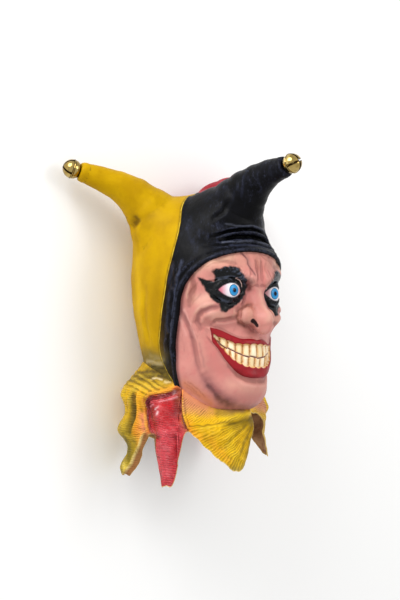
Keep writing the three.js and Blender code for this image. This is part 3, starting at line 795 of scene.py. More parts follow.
def edge_table():
    """Heading, edge height and share of a tail's tip, all the way round the collar."""
    rows = []
    for i, (tip, before, after, notch) in enumerate(TAILS):
        last = TAILS[i - 1][3]
        start = (last[0] - (360 if i == 0 else 0), last[1])
        for a, b, shape, from_tip in ((start, tip, before, False), (tip, notch, after, True)):
            t = np.linspace(0, 1, 60, endpoint=False)
            share = t if from_tip else 1 - t
            top, low = (notch, tip) if from_tip else (start, tip)
            if shape:
                rise = smooth(shape[0], shape[1], share)
            else:
                rise = (np.hypot(share, 0.15) - 0.15) / (math.hypot(1, 0.15) - 0.15)
            heading, height = a[0] + (b[0] - a[0]) * t, low[1] + (top[1] - low[1]) * rise
            rows.append(np.stack([heading, height, 1 - smooth(0, 1, share)], 1))
    return np.concatenate(rows)


def reach_at_head(heading):
    """How far from the collar's axis the head's surface is, just above the pinch."""
    z = pinch(np.abs((heading + 180) % 360 - 180)) + 1
    low, high = np.full(len(heading), 20.0), np.full(len(heading), 130.0)
    s, c = np.sin(heading * RAD), np.cos(heading * RAD)
    for _ in range(24):
        middle = (low + high) / 2
        outside = outer_shape(-s * middle, COLLAR_Y - c * middle, z, False) > 0
        low, high = np.where(outside, low, middle), np.where(outside, middle, high)
    return low


# Lines on the collar, as rows of height and heading, or of heading and height for the top edge of
# the red part and for the fold below the chin.
red_front = track([[-105, 58.5], [-113.5, 58.2], [-130.5, 57.2], [-150, 54.9], [-168.4, 50.7], [-180, 49]])
red_rear = track([[-110, 89], [-142, 89.7], [-159, 89.3], [-172, 88], [-190, 88]])
red_top = track([[50, -112], [58, -113.5], [67, -120], [75, -123.4], [84.3, -125.5], [90, -134]])
deep_fold = track([[-112, 99], [-123, 100.4], [-137.5, 101.6], [-153, 104], [-168, 106.4], [-180, 107]])
rolled_edge = track([[-166, 90], [-173, 96], [-185, 98.5], [-198, 104.5], [-209, 108], [-222, 116]])
front_fold = track([[-30, -132], [-12, -146], [3, -154.6], [19, -161.5], [35, -160], [51, -161], [56, -163]])


def collar_relief(h, z, drop):
    """Folds, seams and ribs, in millimetres outwards. h is the heading from -180 to 180."""
    u = h * PER_DEGREE
    r = waves(u, z, u * 0, 34, 21) * 1.6 * smooth(6, 30, drop)
    r = r + waves(u, z, u * 0, 13, 22) * 0.5 * smooth(4, 20, drop)
    front = (h - red_front(z)) * PER_DEGREE
    beside = window(z, -176, -160, -112, -98)
    r = r + beside * (2.0 * hump(front, -1.2, 1.5) - 2.6 * window(front, -0.8, 1.6, 10, 30))
    top = mix(99, z - red_top(h), window(h, 56, 60, 88, 92))
    r = r + 2.2 * hump(top, 2.5, 3.0) - 2.8 * hump(top, -3.5, 3.4)
    rear = (h - red_rear(z)) * PER_DEGREE
    r = r + smooth(-126, -136, z) * (1.8 * hump(rear, 3.0, 3.0) - 1.6 * hump(rear, -2.5, 2.6))
    deep = (h - deep_fold(z)) * FOLD_SCALE
    r = r + window(z, -180, -160, -130, -116) * (1.8 * hump(np.abs(deep), 7, 4) - 4.4 * hump(deep, 0, 3.6))
    rolled = (h - rolled_edge(z)) * FOLD_SCALE
    on = smooth(-166, -176, z) * (h > 60) * (h < 150)
    r = r + on * (0.8 * hump(rolled, 0.6, 1.3) - 3.2 * smooth(0.6, -1.2, rolled))
    fold = z - front_fold(h)
    groove = 1.3 * hump(fold, 0, 3.0) * mix(0.5, 1, smooth(30, 5, h))
    r = r + window(h, -34, -20, 16, 48) * (2.4 * hump(fold, 5, 5) - groove)
    r = r + waves(u, z, u * 0, 9, 23) * 0.25 * smooth(10, 30, drop)
    over_shoulder = smooth(70, 84, np.abs(h)) * window(drop, 3, 9, 22, 34)
    r = r + np.sin(drop * 1.15 + waves(u, z, u * 0, 26, 25) * 1.6) * 0.75 * over_shoulder
    dents = hump(h, 86, 5) * hump(z, -140, 9) + hump(h, 62, 3) * hump(z, -136, 12)
    r = r - 1.6 * dents + 1.2 * hump(h, 74, 6) * hump(z, -144, 14)
    channels = np.arctan2(z + 146, u + 24)
    r = r + np.sin(channels * 34) * 0.5 * window(h, -30, -10, 30, 44) * smooth(-158, -168, z)
    pleat = np.sin(h * RAD * 22 + waves(u, z, u * 0, 40, 24) * 2) * smooth(125, 150, np.abs(h))
    return r + 0.55 * pleat * smooth(10, 40, drop)


def collar_columns():
    """Heading, edge height and share of a tail's tip for every column, evenly along the edge."""
    table = edge_table()
    across = np.diff(table[:, 0], append=table[0, 0] + 360) * PER_DEGREE
    down = np.diff(table[:, 1], append=table[0, 1]) * 0.45
    length = np.concatenate([[0], np.cumsum(np.hypot(across, down))])
    want = np.linspace(0, length[-1], COLLAR_COLUMNS, endpoint=False)
    closed = np.vstack([table, [table[0, 0] + 360, table[0, 1], table[0, 2]]])
    heading, edge, tipness = (np.interp(want, length, closed[:, k]) for k in range(3))
    u = heading * PER_DEGREE
    ragged = waves(u, u * 0, u * 0 + 4, 12, 31) * 1.2 + waves(u, u * 0, u * 0, 5, 32) * 0.5
    return heading, edge + ragged, tipness


def collar_reach(h, z, drop, tipness, at_head):
    """How far from its axis the outer side of the collar lies, without its relief."""
    side = np.abs(h)
    sag = -5 * smooth(60, 120, drop)
    fold = (tipness - 0.5) * 13 * smooth(15, 75, drop)
    curl = np.sin((z + 132) / 7.4) * 4.5 * smooth(95, 125, side) * smooth(20, 45, drop)
    on_head = at_head + 1.2 * smooth(-3, 2, drop) - 1.6 * smooth(1, -2.2, drop)
    reach = mix(on_head, collar_radius(side) + sag + fold + curl, smooth(-4, 34, drop))
    reach = reach + left_swell(z) * window(h, -110, -85, -65, -40) * smooth(2, 14, drop)
    return reach - 6 * hump(z, -176, 12) * window(h, -100, -88, -62, -50)


def build_collar():
    """Points and faces, and for each point its heading, height and other facts for the paint."""
    heading, edge, tipness = collar_columns()
    h = (heading + 180) % 360 - 180
    top = pinch(np.abs(h))
    t = np.linspace(0, 1, COLLAR_ROWS)[:, None]
    z = (top + 2.2) + (edge - top - 2.2) * t ** 1.08
    drop, to_edge = top - z, z - edge
    h = np.broadcast_to(h, z.shape)
    reach = collar_reach(h, z, drop, tipness, reach_at_head(heading))
    reach = reach + collar_relief(h, z, drop) * smooth(-2, 6, drop)
    thick = THIN_EDGE + (COLLAR_WALL - THIN_EDGE) * smooth(0, 16, to_edge)
    reach_in = reach - thick
    reach_in[-1] -= 0.45 * thick[-1]
    s, c = np.sin(h * RAD), np.cos(h * RAD)
    y_out = np.minimum(COLLAR_Y - c * reach, FLOOR_Y - OFF_FLOOR)
    y_in = np.minimum(COLLAR_Y - c * reach_in, FLOOR_Y - OFF_FLOOR - thick)
    every_other = np.r_[0:COLLAR_ROWS:2, COLLAR_ROWS - 1]
    outer = np.stack([-s * reach, y_out, z], 2)
    inner = np.stack([-s * reach_in, y_in, z], 2)[every_other]
    rings = np.concatenate([outer, inner[::-1]])
    count, n = len(rings), COLLAR_COLUMNS
    ring, column = np.arange(count)[:, None] * n, np.arange(n)[None, :]
    below, beside = (ring + n) % (count * n), (column + 1) % n
    faces = np.stack([ring + column, below + column, below + beside, ring + beside], 2).reshape(-1, 4)
    # How hollow the collar is at each point: painted shade in its hollows and painted highlights on its
    # ridges come from this.
    around = np.roll(reach, 2, 1) + np.roll(reach, -2, 1)
    up_down = np.roll(reach, 2, 0) + np.roll(reach, -2, 0)
    hollow = ((around + up_down) / 4 - reach) * smooth(4, 12, drop) * smooth(2, 8, to_edge)
    facts = [np.concatenate([v, v[every_other][::-1]]).ravel() for v in (h, z, drop, to_edge)]
    is_inner = np.repeat([0.0, 1.0], [outer[:, :, 0].size, inner[:, :, 0].size])
    hollow = np.concatenate([hollow.ravel(), np.zeros(inner[:, :, 0].size)])
    return rings.reshape(-1, 3), faces, facts + [is_inner, hollow]


SHOULDER_STROKES = [  # colour, width, strength, points as heading and height, on both sides
    ((196, 150, 20), 9, 0.60, [(84, -110), (100, -113), (118, -118)]),
    ((120, 104, 34), 8, 0.75, [(78, -100), (92, -100), (106, -103), (124, -106), (150, -104)]),
    ((60, 46, 26), 2.6, 0.80, [(86, -96), (98, -95), (110, -97), (124, -99)]),
    ((70, 52, 28), 2.0, 0.70, [(90, -102), (100, -104), (112, -106)]),
]
COLLAR_STROKES = [  # the same for the front and the wearer's right only
    ((58, 44, 26), 2.4, 0.80, [(66, -107), (76, -104), (84, -101)]),
    # Painted highlights on the shoulder.
    ((242, 226, 190), 1.1, 0.65, [(79, -106.5), (85, -104.5), (91, -105.5)]),
    ((236, 214, 160), 1.2, 0.65, [(70, -110), (76, -109)]),
    ((226, 190, 60), 4.5, 0.65, [(78, -114), (90, -115), (104, -117)]),
    # Painted shade in the deep fold, running on down the tail.
    ((112, 90, 14), 4.5, 0.90, [(101.5, -121), (103, -134), (104, -150), (106, -158)]),
    ((74, 58, 8), 1.8, 0.75, [(102, -122), (103, -136), (104.5, -152)]),
    ((126, 104, 16), 7, 0.60, [(105, -156), (109, -172), (110, -188)]),
    ((226, 188, 20), 6, 0.60, [(118, -120), (119, -132), (116, -146)]),
    ((146, 126, 22), 15, 0.70, [(120, -162), (116, -184), (114, -206)]),
    ((86, 78, 22), 5, 0.65, [(113, -180), (110, -190), (110, -200)]),
    ((92, 82, 24), 3, 0.60, [(123, -164), (119, -174), (114, -178)]),
    ((206, 176, 40), 3.5, 0.55, [(118, -156), (121, -168), (118, -178)]),
    ((232, 204, 84), 4.5, 0.85, [(113, -214), (115, -210)]),
    ((244, 168, 28), 6, 0.90, [(96, -124), (96, -142), (97, -158)]),
    ((238, 138, 104), 5.5, 0.90, [(94, -150), (93.5, -164), (94.5, -178)]),
    ((240, 162, 50), 4, 0.60, [(97, -170), (98, -184)]),
    ((236, 168, 44), 4.5, 0.85, [(64, -114.5), (75, -118.5), (86, -121)]),
    ((226, 96, 28), 2.2, 0.85, [(60, -113.5), (68, -119), (77, -123.2), (86, -126)]),
    ((92, 6, 16), 8, 0.85, [(86, -133), (85, -142), (82, -149)]),
    ((104, 8, 18), 5, 0.80, [(61, -122), (62, -134), (61, -147)]),
    ((116, 8, 18), 3, 0.80, [(63, -119), (71, -126), (80, -130), (88, -134)]),
    ((206, 18, 28), 8, 0.55, [(71, -136), (70, -152), (67, -162)]),
    ((110, 8, 18), 3, 0.45, [(80, -152), (77, -166), (70, -184)]),
    ((226, 74, 88), 13, 0.55, [(68, -174), (72, -192), (71, -218)]),
    ((238, 120, 122), 3.5, 0.45, [(87, -170), (83, -186), (80, -200)]),
    ((236, 104, 110), 4, 0.45, [(58, -162), (54, -168)]),
    # Painted highlights on the glossy red.
    ((250, 214, 216), 1.3, 0.80, [(65, -119.5), (66, -124)]),
    ((244, 176, 184), 1.0, 0.80, [(62, -128), (70, -131), (74, -133)]),
    ((248, 204, 208), 1.3, 0.85, [(75, -138.5), (77.5, -141)]),
    ((250, 214, 216), 1.6, 0.90, [(75, -145.5), (75.5, -147)]),
    ((236, 150, 162), 1.2, 0.60, [(80, -136), (85, -139)]),
    ((208, 132, 92), 10, 0.90, [(55, -116), (46, -123), (37, -130)]),
    ((212, 142, 88), 8, 0.55, [(53, -134), (42, -139), (30, -142)]),
    ((204, 128, 90), 8, 0.85, [(56, -126), (47, -133), (38, -139)]),
    # Painted shade under the chin.
    ((112, 76, 56), 5, 0.85, [(38, -128), (30, -134), (22, -140), (12, -143), (2, -143)]),
    ((138, 108, 34), 5, 0.70, [(24, -147), (14, -149), (2, -149)]),
    ((234, 182, 12), 6, 0.75, [(52, -151), (40, -154), (28, -155)]),
    ((212, 148, 84), 5, 0.60, [(54, -142), (44, -145), (30, -146)]),
    ((240, 160, 24), 6, 0.65, [(52, -157), (48, -167), (42, -176)]),
    # Painted shade in the fold below the chin, with painted highlights along the ridges beside it.
    ((126, 102, 8), 7, 0.66, [(-24, -158), (-12, -154), (2, -160), (14, -163)]),
    ((96, 78, 6), 2.6, 0.70, [(-18, -149), (-6, -153), (4, -157), (14, -159)]),
    ((112, 84, 10), 0.9, 0.75, [(50, -161.5), (40, -161), (30, -160), (17, -156), (5, -149), (-8, -140)]),
    ((236, 200, 50), 1.0, 0.60, [(40, -163), (28, -162.5), (18, -159.5)]),
    ((234, 196, 24), 3, 0.60, [(-12, -143), (4, -149), (22, -153.5)]),
    # Painted shade down the front tail.
    ((104, 84, 8), 5, 0.66, [(-14, -166), (-6, -180), (0, -196)]),
    ((92, 76, 8), 1.8, 0.55, [(-8, -162), (2, -178), (8, -196)]),
    ((98, 80, 10), 1.8, 0.45, [(-2, -160), (12, -174), (20, -188)]),
    ((226, 152, 22), 5, 0.50, [(32, -178), (26, -190), (18, -202)]),
    ((222, 184, 12), 6, 0.50, [(14, -170), (16, -184), (12, -200)]),
    ((158, 140, 70), 4, 0.65, [(3, -208), (8, -215), (14, -213)]),
    ((236, 142, 52), 1.1, 0.95, [(57.6, -112), (57.2, -126), (56.2, -148)]),
    ((96, 12, 10), 1.1, 0.90, [(59.4, -114), (58.9, -127), (57.8, -147)]),
    ((120, 14, 14), 1.6, 0.60, [(56, -149), (52, -162), (50.5, -168)]),
]


FAR_FRONT, FAR_REAR, FAR_TOP = -86.0, -146.0, -118.0  # the red part on the wearer's left


def rib_phase(u, h, z, red, above_fold):
    """Which rib a point is on. The ribs fan out below the chin's fold and slant above it."""
    fan = np.arctan2(z + 140, u + 34) / RAD / 2.1
    slant = (z * 0.82 + u * 0.57) / 2.6
    over = smooth(-0.4, 0.4, above_fold)
    front = fan * (1 - over) + slant * over
    rib = np.where((h >= -30) & (h < 57), front, (z + 0.1 * u) / 2.0)
    return np.where(red > 0, (z + 0.12 * u) / 1.9, rib)


def collar_attributes(mesh, facts):
    h, z, drop, to_edge, inner, hollow = facts
    u, side = h * PER_DEGREE, np.abs(h)
    colour, cover = painted(h, z, SHOULDER_STROKES + COLLAR_STROKES, 81)
    mirrored, mirrored_cover = painted(-h, z, SHOULDER_STROKES, 83)
    on_left = h < -31
    cover = np.where(on_left, mirrored_cover * 0.8, cover * window(h, -36, -26, 165, 178))
    set_tint(mesh, np.where(on_left[:, None], mirrored, colour), cover)
    right = np.minimum(np.minimum(h - red_front(z), red_rear(z) - h) * PER_DEGREE, red_top(h) - z)
    left = np.minimum(FAR_FRONT - h, h - FAR_REAR) * PER_DEGREE
    left = np.minimum(left, FAR_TOP - z + waves(h, z, h * 0, 20, 40))
    red = np.where(h > 0, right, np.where(h < -60, left, -40))
    low = z + waves(u, z, h * 0, 16, 41) * 3 + 0.18 * (side - 45)
    pink = window(side, 26, 34, 57, 60) * smooth(-158, -127, low)
    pink = np.maximum(pink, 0.4 * smooth(34, 10, side) * smooth(9, 2, drop))
    orange = window(red, -9, -1, -1, 1)
    orange = np.maximum(orange, smooth(16, 2, np.hypot(u - 99 * PER_DEGREE, (z + 158) * 0.55)) * 0.9)
    orange = np.maximum(orange, window(h, 40, 56, 57, 60) * smooth(-175, -150, z) * 0.55)
    # A darker wash with painted shade: just below where the collar meets the head, in the deep fold and in
    # the fold below the chin.
    deep = hump((h - deep_fold(z)) * FOLD_SCALE, 0, 3.4) * window(z, -180, -160, -130, -116)
    dirt = np.maximum(smooth(16, 2, drop) * smooth(55, 65, side) * 0.8, deep * 0.9)
    crease = hump(z - front_fold(h), 0, 1.8) * window(h, -34, -20, 12, 34)
    dirt = np.maximum(dirt, crease * 0.25)
    green = smooth(-168, -182, z) * (h > 92) * (h < 150) * 0.8
    green = np.maximum(green, window(h, 100, 110, 125, 150) * smooth(-160, -175, z))
    green = np.maximum(green, smooth(30, -5, np.abs(h - 12)) * smooth(-190, -212, z) * 0.6)
    rolled = (h - rolled_edge(z)) * FOLD_SCALE
    at_roll = (h > 80) & (h < 150)
    tan = smooth(0.4, -0.4, rolled) * smooth(-168, -176, z) * at_roll
    bright = 0.8 * hump(rolled, 0, 0.6) * smooth(-166, -176, z) * at_roll
    above_fold = z - front_fold(np.clip(h, -30, 56))
    rib_on = smooth(2, 10, drop) * np.where(red > 0, 1.0, 0.75)
    beside_fold = (red < 0) & (h > -30) & (h < 57)
    rib_on = np.where(beside_fold, rib_on * smooth(1.0, 4.0, np.abs(above_fold)), rib_on)
    set_attributes(mesh, dict(
        red=red, pink=pink, orange=orange, dirt=dirt, green=green, tan=tan, rib_on=rib_on, inner=inner,
        edge=to_edge, bright=bright, hollow=hollow, rib=rib_phase(u, h, z, red, above_fold),
    ))


def set_attributes(mesh, values):
    for name, v in values.items():
        a = mesh.attributes.new("m_" + name, "FLOAT", "POINT")
        a.data.foreach_set("value", np.ascontiguousarray(v, dtype=np.float32))


# The head as one shell.

MAKEUP = [  # the outline of the black round an eye, as heading and height
    (49.9, 14.0), (43.3, 11.4), (37.4, 9.0), (35.9, 14.0), (38.4, 20.1), (38.4, 22.9),
    (33.6, 23.3), (28.7, 26.7), (22.9, 27.6), (18.0, 25.2), (16.4, 19.4), (12.3, 10.8),
    (9.5, 2.5), (10.5, -6.3), (14.7, -14.2), (20.5, -20.9), (28.3, -28.4), (32.5, -25.6),
    (32.0, -19.8), (37.6, -14.2), (42.0, -3.6), (46.7, 6.6),
]
GLINT = [(20, 13.5), (16.5, 11), (14.3, 7), (13.6, 3.5)]  # a painted highlight on the lid's rim beside that black
IRIS_TURN = 3 * RAD  # how far the irises look outwards
IRIS = (EYE[0] + EYE_R * math.sin(IRIS_TURN), EYE[1] - EYE_R * math.cos(IRIS_TURN), EYE[2] - 0.3)
# The mauve and the umber are colours of painted shade; the beige paints highlights, and on the upper forehead
# the skin's lighter tan; the raw pink is the skin's own pinker tone.
SHADE_MAUVE, SHADE_UMBER, BEIGE, RAW = (112, 66, 72), (128, 74, 56), (224, 182, 156), (206, 112, 108)
FACE_STROKES = [  # colour, width, strength, points as heading and height, on both sides of the face
    (BEIGE, 9, 0.55, [(42, 32), (33, 37), (26, 40)]),
    (BEIGE, 6, 0.45, [(52, 22), (47, 30)]),
    # Painted highlights on the cheekbone, the cheek, beside the side fold and on the chin.
    (BEIGE, 7, 0.40, [(40, -8), (47, -14), (52, -12)]),
    (BEIGE, 6, 0.30, [(30, -31), (38, -32)]),
    (BEIGE, 5, 0.10, [(50, -58), (46, -78), (44, -92)]),
    (BEIGE, 7, 0.25, [(22, -112), (12, -117), (2, -118)]),
    (RAW, 6, 0.30, [(12, 2), (10, -8), (8, -18)]),
    (RAW, 8, 0.30, [(36, -58), (40, -70), (30, -98)]),
    (RAW, 7, 0.35, [(6, 36), (3, 26), (3, 14)]),
    # Painted shade at the temple, in a line there, and on the forehead under the hood's edge.
    (SHADE_UMBER, 5, 0.36, [(56, 16), (54, 6), (55, -6), (58, -18)]),
    (SHADE_UMBER, 2.0, 0.35, [(52, 4), (52.5, -5), (54, -14)]),
    (SHADE_UMBER, 5, 0.30, [(44, 30), (34, 38), (24, 43)]),
    # Painted shade in the side fold, with painted highlights along it.
    (SHADE_MAUVE, 2.2, 0.46, [(64, -22), (61, -34), (58, -46), (56, -56)]),
    ((228, 170, 160), 1.8, 0.50, [(61.5, -24), (58.5, -34), (55.5, -46), (53.5, -56)]),
    ((228, 170, 160), 2.0, 0.35, [(66, -30), (63.5, -42), (61, -54)]),
    # Painted shade in fine wrinkles at the temple and the eye's outer corner, and a painted highlight beside
    # them.
    (SHADE_UMBER, 1.2, 0.40, [(58, 14), (60, 6), (61.5, -4), (63, -14)]),
    (SHADE_UMBER, 1.0, 0.35, [(50, 8), (54, 2), (57, -6)]),
    (SHADE_UMBER, 1.0, 0.35, [(47, -6), (51, -11), (54, -18)]),
    (BEIGE, 1.4, 0.40, [(56, 8), (58, 0), (59, -10)]),
    # A painted highlight above the cheek's fold, and painted shade in the crease above the brow with a
    # painted highlight over it.
    (BEIGE, 1.6, 0.40, [(38, -19), (43, -19.5), (48, -23), (52, -29)]),
    (SHADE_UMBER, 1.3, 0.35, [(26, 34), (34, 31.5), (42, 27)]),
    (BEIGE, 2.0, 0.40, [(26, 36.5), (34, 34.5), (43, 30)]),
    # Painted shade in the side folds, in the cheek's fold and inside it, and in the laugh line.
    (SHADE_MAUVE, 2.8, 0.32, [(56, -56), (54.5, -70), (53, -84), (51, -96), (47, -104)]),
    (SHADE_MAUVE, 2.2, 0.26, [(49, -64), (47, -78), (45, -90)]),
    (SHADE_MAUVE, 2.0, 0.42, [(34, -21), (41, -22), (46, -26), (49, -31), (50, -37), (47.5, -42)]),
    (SHADE_UMBER, 6, 0.20, [(45, -30), (44, -36)]),
    (SHADE_UMBER, 1.6, 0.35, [(18, -30), (24, -33), (31, -34.5), (37, -38)]),
    # Painted shade beside and round the nose's wing and under the nose, with painted highlights on the wing
    # and down the bridge.
    ((168, 108, 84), 6, 0.65, [(8, -20), (12, -28), (11, -36)]),
    ((116, 66, 50), 1.5, 0.80, [(8, -18), (12.5, -20), (16.5, -26), (17.5, -33), (15, -39), (10, -43)]),
    ((140, 84, 66), 2.0, 0.25, [(2, -40), (6, -44), (10, -43)]),
    (BEIGE, 1.8, 0.40, [(19.5, -24), (20.5, -32)]),
    (BEIGE, 3.0, 0.35, [(0, 0), (0, -18), (1, -36)]),
    (SHADE_MAUVE, 3.0, 0.15, [(5, -50), (10, -49)]),
    # Painted shade under the jaw and the chin.
    (SHADE_MAUVE, 7, 0.66, [(43, -108), (36, -118), (29, -127), (20, -134)]),
    ((72, 40, 44), 2.6, 0.75, [(42, -113), (36, -121), (29, -130), (22, -135)]),
    ((112, 70, 60), 4.5, 0.60, [(30, -131), (22, -136), (12, -139), (2, -139)]),
    ((200, 124, 88), 6.5, 0.85, [(66, -113), (58, -118), (51, -124), (44, -130), (38, -136)]),
    # Painted shade in the grooves of the ribs on the salmon neck.
    ((150, 84, 62), 0.9, 0.50, [(66, -110), (60, -115), (54, -121)]),
    ((150, 84, 62), 0.9, 0.50, [(62, -109), (56, -114), (50, -120), (45, -127)]),
    ((160, 92, 70), 0.9, 0.45, [(64, -116), (57, -121), (50, -127)]),
    # Painted shade under the lower lip, at the eye's inner corner and between the brows.
    (SHADE_UMBER, 3.0, 0.40, [(18, -100), (12, -107), (6, -110), (0, -110)]),
    (SHADE_MAUVE, 3.0, 0.50, [(11, 12), (9.5, 4), (10.5, -6), (13, -15)]),
    (SHADE_UMBER, 1.2, 0.50, [(8, 12), (5, 6), (9, 1)]),
    ((78, 12, 18), 3.0, 0.80, [(13, 13), (9, 8), (8.5, 2)]),
]
HOOD_STROKES = [  # the same for the hood
    ((64, 52, 30), 11, 0.60, [(84, -98), (98, -94), (112, -92), (130, -92), (150, -92)]),
    ((112, 98, 48), 9, 0.60, [(88, -78), (104, -75), (120, -74), (145, -78)]),
    # Painted highlights along the hood's base.
    ((194, 178, 138), 2.0, 0.60, [(90, -88), (100, -85.5), (112, -83), (122, -83)]),
    ((150, 138, 100), 3.0, 0.55, [(88, -82), (98, -79), (108, -77)]),
    ((40, 32, 20), 1.6, 0.75, [(88, -94), (99, -91), (110, -88.5), (124, -88)]),
    ((44, 34, 20), 2.0, 0.75, [(92, -99), (104, -96), (118, -94)]),
    ((150, 112, 2), 10, 0.45, [(84, 30), (86, 0), (90, -40), (92, -70)]),
    ((232, 190, 20), 9, 0.35, [(112, 40), (112, 0), (116, -40)]),
    # Painted shade in the dimple at the yellow horn's root.
    ((120, 84, 8), 5, 0.35, [(97, 93), (103, 84), (98, 79)]),
    # Painted highlights: bluish streaks down the hood's rim and grey lines along the folds above the face.
    ((82, 88, 112), 1.1, 0.65, [(62, 34), (66, 14), (69, -8), (72, -32), (75, -56)]),
    ((60, 64, 84), 1.6, 0.50, [(70, 30), (73, 4), (75, -24), (78, -50)]),
    ((104, 108, 124), 0.9, 0.55, [(30, 56), (16, 58), (0, 59.5)]),
    ((88, 92, 106), 1.0, 0.50, [(26, 79), (14, 78), (0, 79)]),
    ((70, 74, 96), 1.4, 0.45, [(24, 52), (12, 54), (0, 55)]),
]
NEAR_STROKES = [  # the same on the wearer's right only, headings to the left below 0
    ((84, 40, 38), 0.9, 0.95, [(17, 47), (13, 41), (11, 35), (10, 29), (8, 23), (6.5, 17)]),
    # Painted shade beside that line, in the frown lines and on the far side's forehead.
    (SHADE_MAUVE, 2.6, 0.35, [(14, 45), (11, 38), (9.5, 30), (7.5, 20)]),
    (SHADE_UMBER, 1.0, 0.50, [(-4, 43), (-8, 38), (-13, 36), (-18, 30)]),
    (SHADE_UMBER, 1.6, 0.45, [(1.5, 38), (1, 28), (2, 18), (4, 10)]),
    (SHADE_UMBER, 1.2, 0.40, [(-7, 33), (-5, 24), (-6, 16)]),
    (SHADE_MAUVE, 4, 0.35, [(-14, 40), (-20, 34), (-24, 26)]),
    ((10, 11, 14), 2.8, 0.97, [(-10.5, 5), (-12.5, 12), (-17, 20), (-25, 25)]),
]


def painted(heading, z, strokes, seed):
    """Soft strokes laid one over another: the linear colour they make and how much they cover."""
    u = heading * PER_DEGREE
    along_u = u + waves(u, z, z * 0, 12, seed) * 0.9
    along_z = z + waves(u, z, z * 0, 12, seed + 1) * 0.9
    colour, cover = np.zeros((len(u), 3)), np.zeros(len(u))
    for rgb, width, strength, points in strokes:
        dist, _ = polyline(along_u, along_z, z * 0, [(a * PER_DEGREE, b, 0) for a, b in points])
        share = strength * hump(dist, 0, width)
        colour = colour * (1 - share)[:, None] + np.array(srgb(*rgb)[:3]) * share[:, None]
        cover = cover * (1 - share) + share
    return colour / np.maximum(cover, 1e-4)[:, None], cover


def set_tint(mesh, colour, cover):
    """The strokes as a colour on every point, with how much they cover as a number."""
    a = mesh.attributes.new("m_tint", "FLOAT_COLOR", "POINT")
    rgba = np.c_[colour, np.ones(len(colour))]
    a.data.foreach_set("color", np.ascontiguousarray(rgba.ravel(), dtype=np.float32))
    set_attributes(mesh, dict(cover=cover))


def inside_polygon(u, v, corners):
    """Millimetres inside a closed outline, below 0 outside it."""
    c = np.array(corners)
    best = np.full(len(u), 1e9)
    odd = np.zeros(len(u), bool)
    for a, b in zip(c, np.roll(c, -1, axis=0)):
        d = b - a
        t = np.clip(((u - a[0]) * d[0] + (v - a[1]) * d[1]) / (d @ d), 0, 1)
        best = np.minimum(best, np.hypot(u - a[0] - d[0] * t, v - a[1] - d[1] * t))
        crossing = (b[0] - a[0]) * (v - a[1]) / (b[1] - a[1] + 1e-12) + a[0]
        odd ^= ((a[1] > v) != (b[1] > v)) & (u < crossing)
    return np.where(odd, best, -best)


def bend(p, h):
    """How the surface bends at a scale of h millimetres: above 0 on ridges, below 0 in hollows."""
    total = -6 * surface(*p.T)
    for axis in range(3):
        for side in (-h, h):
            q = p.copy()
            q[:, axis] += side
            total = total + surface(*q.T)
    return total / (h * h)


def head_strokes(x, y, z, heading, inside):
    """The strokes on both sides of the head, with the near side's own laid over them."""
    on_face, face_cover = painted(heading, z, FACE_STROKES, 71)
    on_hood, hood_cover = painted(heading, z, HOOD_STROKES, 75)
    colour = np.where((inside > 0.6)[:, None], on_face, on_hood)
    cover = np.where(inside > 0.6, face_cover, hood_cover)
    near, near_cover = painted(np.arctan2(-x, SKULL_Y - y) / RAD, z, NEAR_STROKES, 73)
    near_cover = near_cover * (inside > 0.6)
    below = cover * (1 - near_cover)
    total = below + near_cover
    colour = colour * below[:, None] + near * near_cover[:, None]
    return colour / np.maximum(total, 1e-4)[:, None], total


def eye_facts(x, y, z):
    """Millimetres inside the lids and from the iris's middle, and the angles round it and the ball."""
    ax = np.abs(x)
    on_ball = (from_point(ax, y, z, EYE) < EYE_R + 0.7) & (y < EYE[1] + 6)
    return dict(
        eye=np.where(on_ball, eye_opening(ax, y, z) + 0.6, -5), iris=from_point(ax, y, z, IRIS),
        spin=np.arctan2(z - IRIS[2], x - np.sign(x) * IRIS[0]),
        inner_eye=np.arctan2(ax - EYE[0], EYE[1] - y) / RAD,
    )


def head_attributes(mesh):
    p = head_points(mesh)
    x, y, z = p.T
    ax = np.abs(x)
    inside = opening(x, y, z)
    _, dark = creases(x, y, z, inside)
    m = mouth_facts(x, y, z)
    black, side = sectors(x, y, z)
    heading = np.arctan2(ax, SKULL_Y - y) / RAD
    u = heading * PER_DEGREE
    makeup = inside_polygon(u, z, [(a * PER_DEGREE, b) for a, b in MAKEUP])
    makeup = makeup + waves(u, z, z * 0, 7, 61) * 0.8 + waves(u, z, z * 0, 3, 62) * 0.3
    rim, _ = from_line(heading, z, GLINT)
    nostril, _ = along(ax, y, z, *NOSTRIL)
    brow, _ = polyline(ax, y, z, BROW)
    # Painted shade on the face along the hood's edge, broader lower down.
    soft = 0.5 * smooth(9, 0.5, inside) * smooth(45, 5, z) + 0.3 * smooth(5, 0.5, inside)
    set_tint(mesh, *head_strokes(x, y, z, heading, inside))
    # bend and broad below say how the surface bends, for painted shade in hollows and painted highlights on
    # ridges.
    off_middle = smooth(0.5, 2.5, ax)
    set_attributes(mesh, dict(
        bend=bend(p, 1.0) * off_middle, broad=bend(p, 3.2) * mix(0.4, 1, off_middle), soft=soft,
        glint=hump(rim, 0, 0.42) * smooth(0, 1, inside), inner=smooth(-1.9, -2.5, surface(x, y, z)),
        face=inside, black=black, side=side, makeup=makeup, dark=dark, lips=m["lips"], teeth=m["teeth"],
        gap=m["side_gap"], bite=np.abs(z - m["bite"]), tooth=m["number"] * 0.37, on=m["on"],
        gum=np.minimum(m["gum"] - z, z - m["low"]), nostril=nostril, brow=brow, height=z,
        **eye_facts(x, y, z),
    ))


def build_head():
    """The head as one shell: the outer skin less the cavity."""
    made = make_object("mask_head", *build_outer())
    cut_with(made, make_object("cavity", *build_inner()))
    made.data.name = "mask_head"
    head_attributes(made.data)
    return made


# The bells.

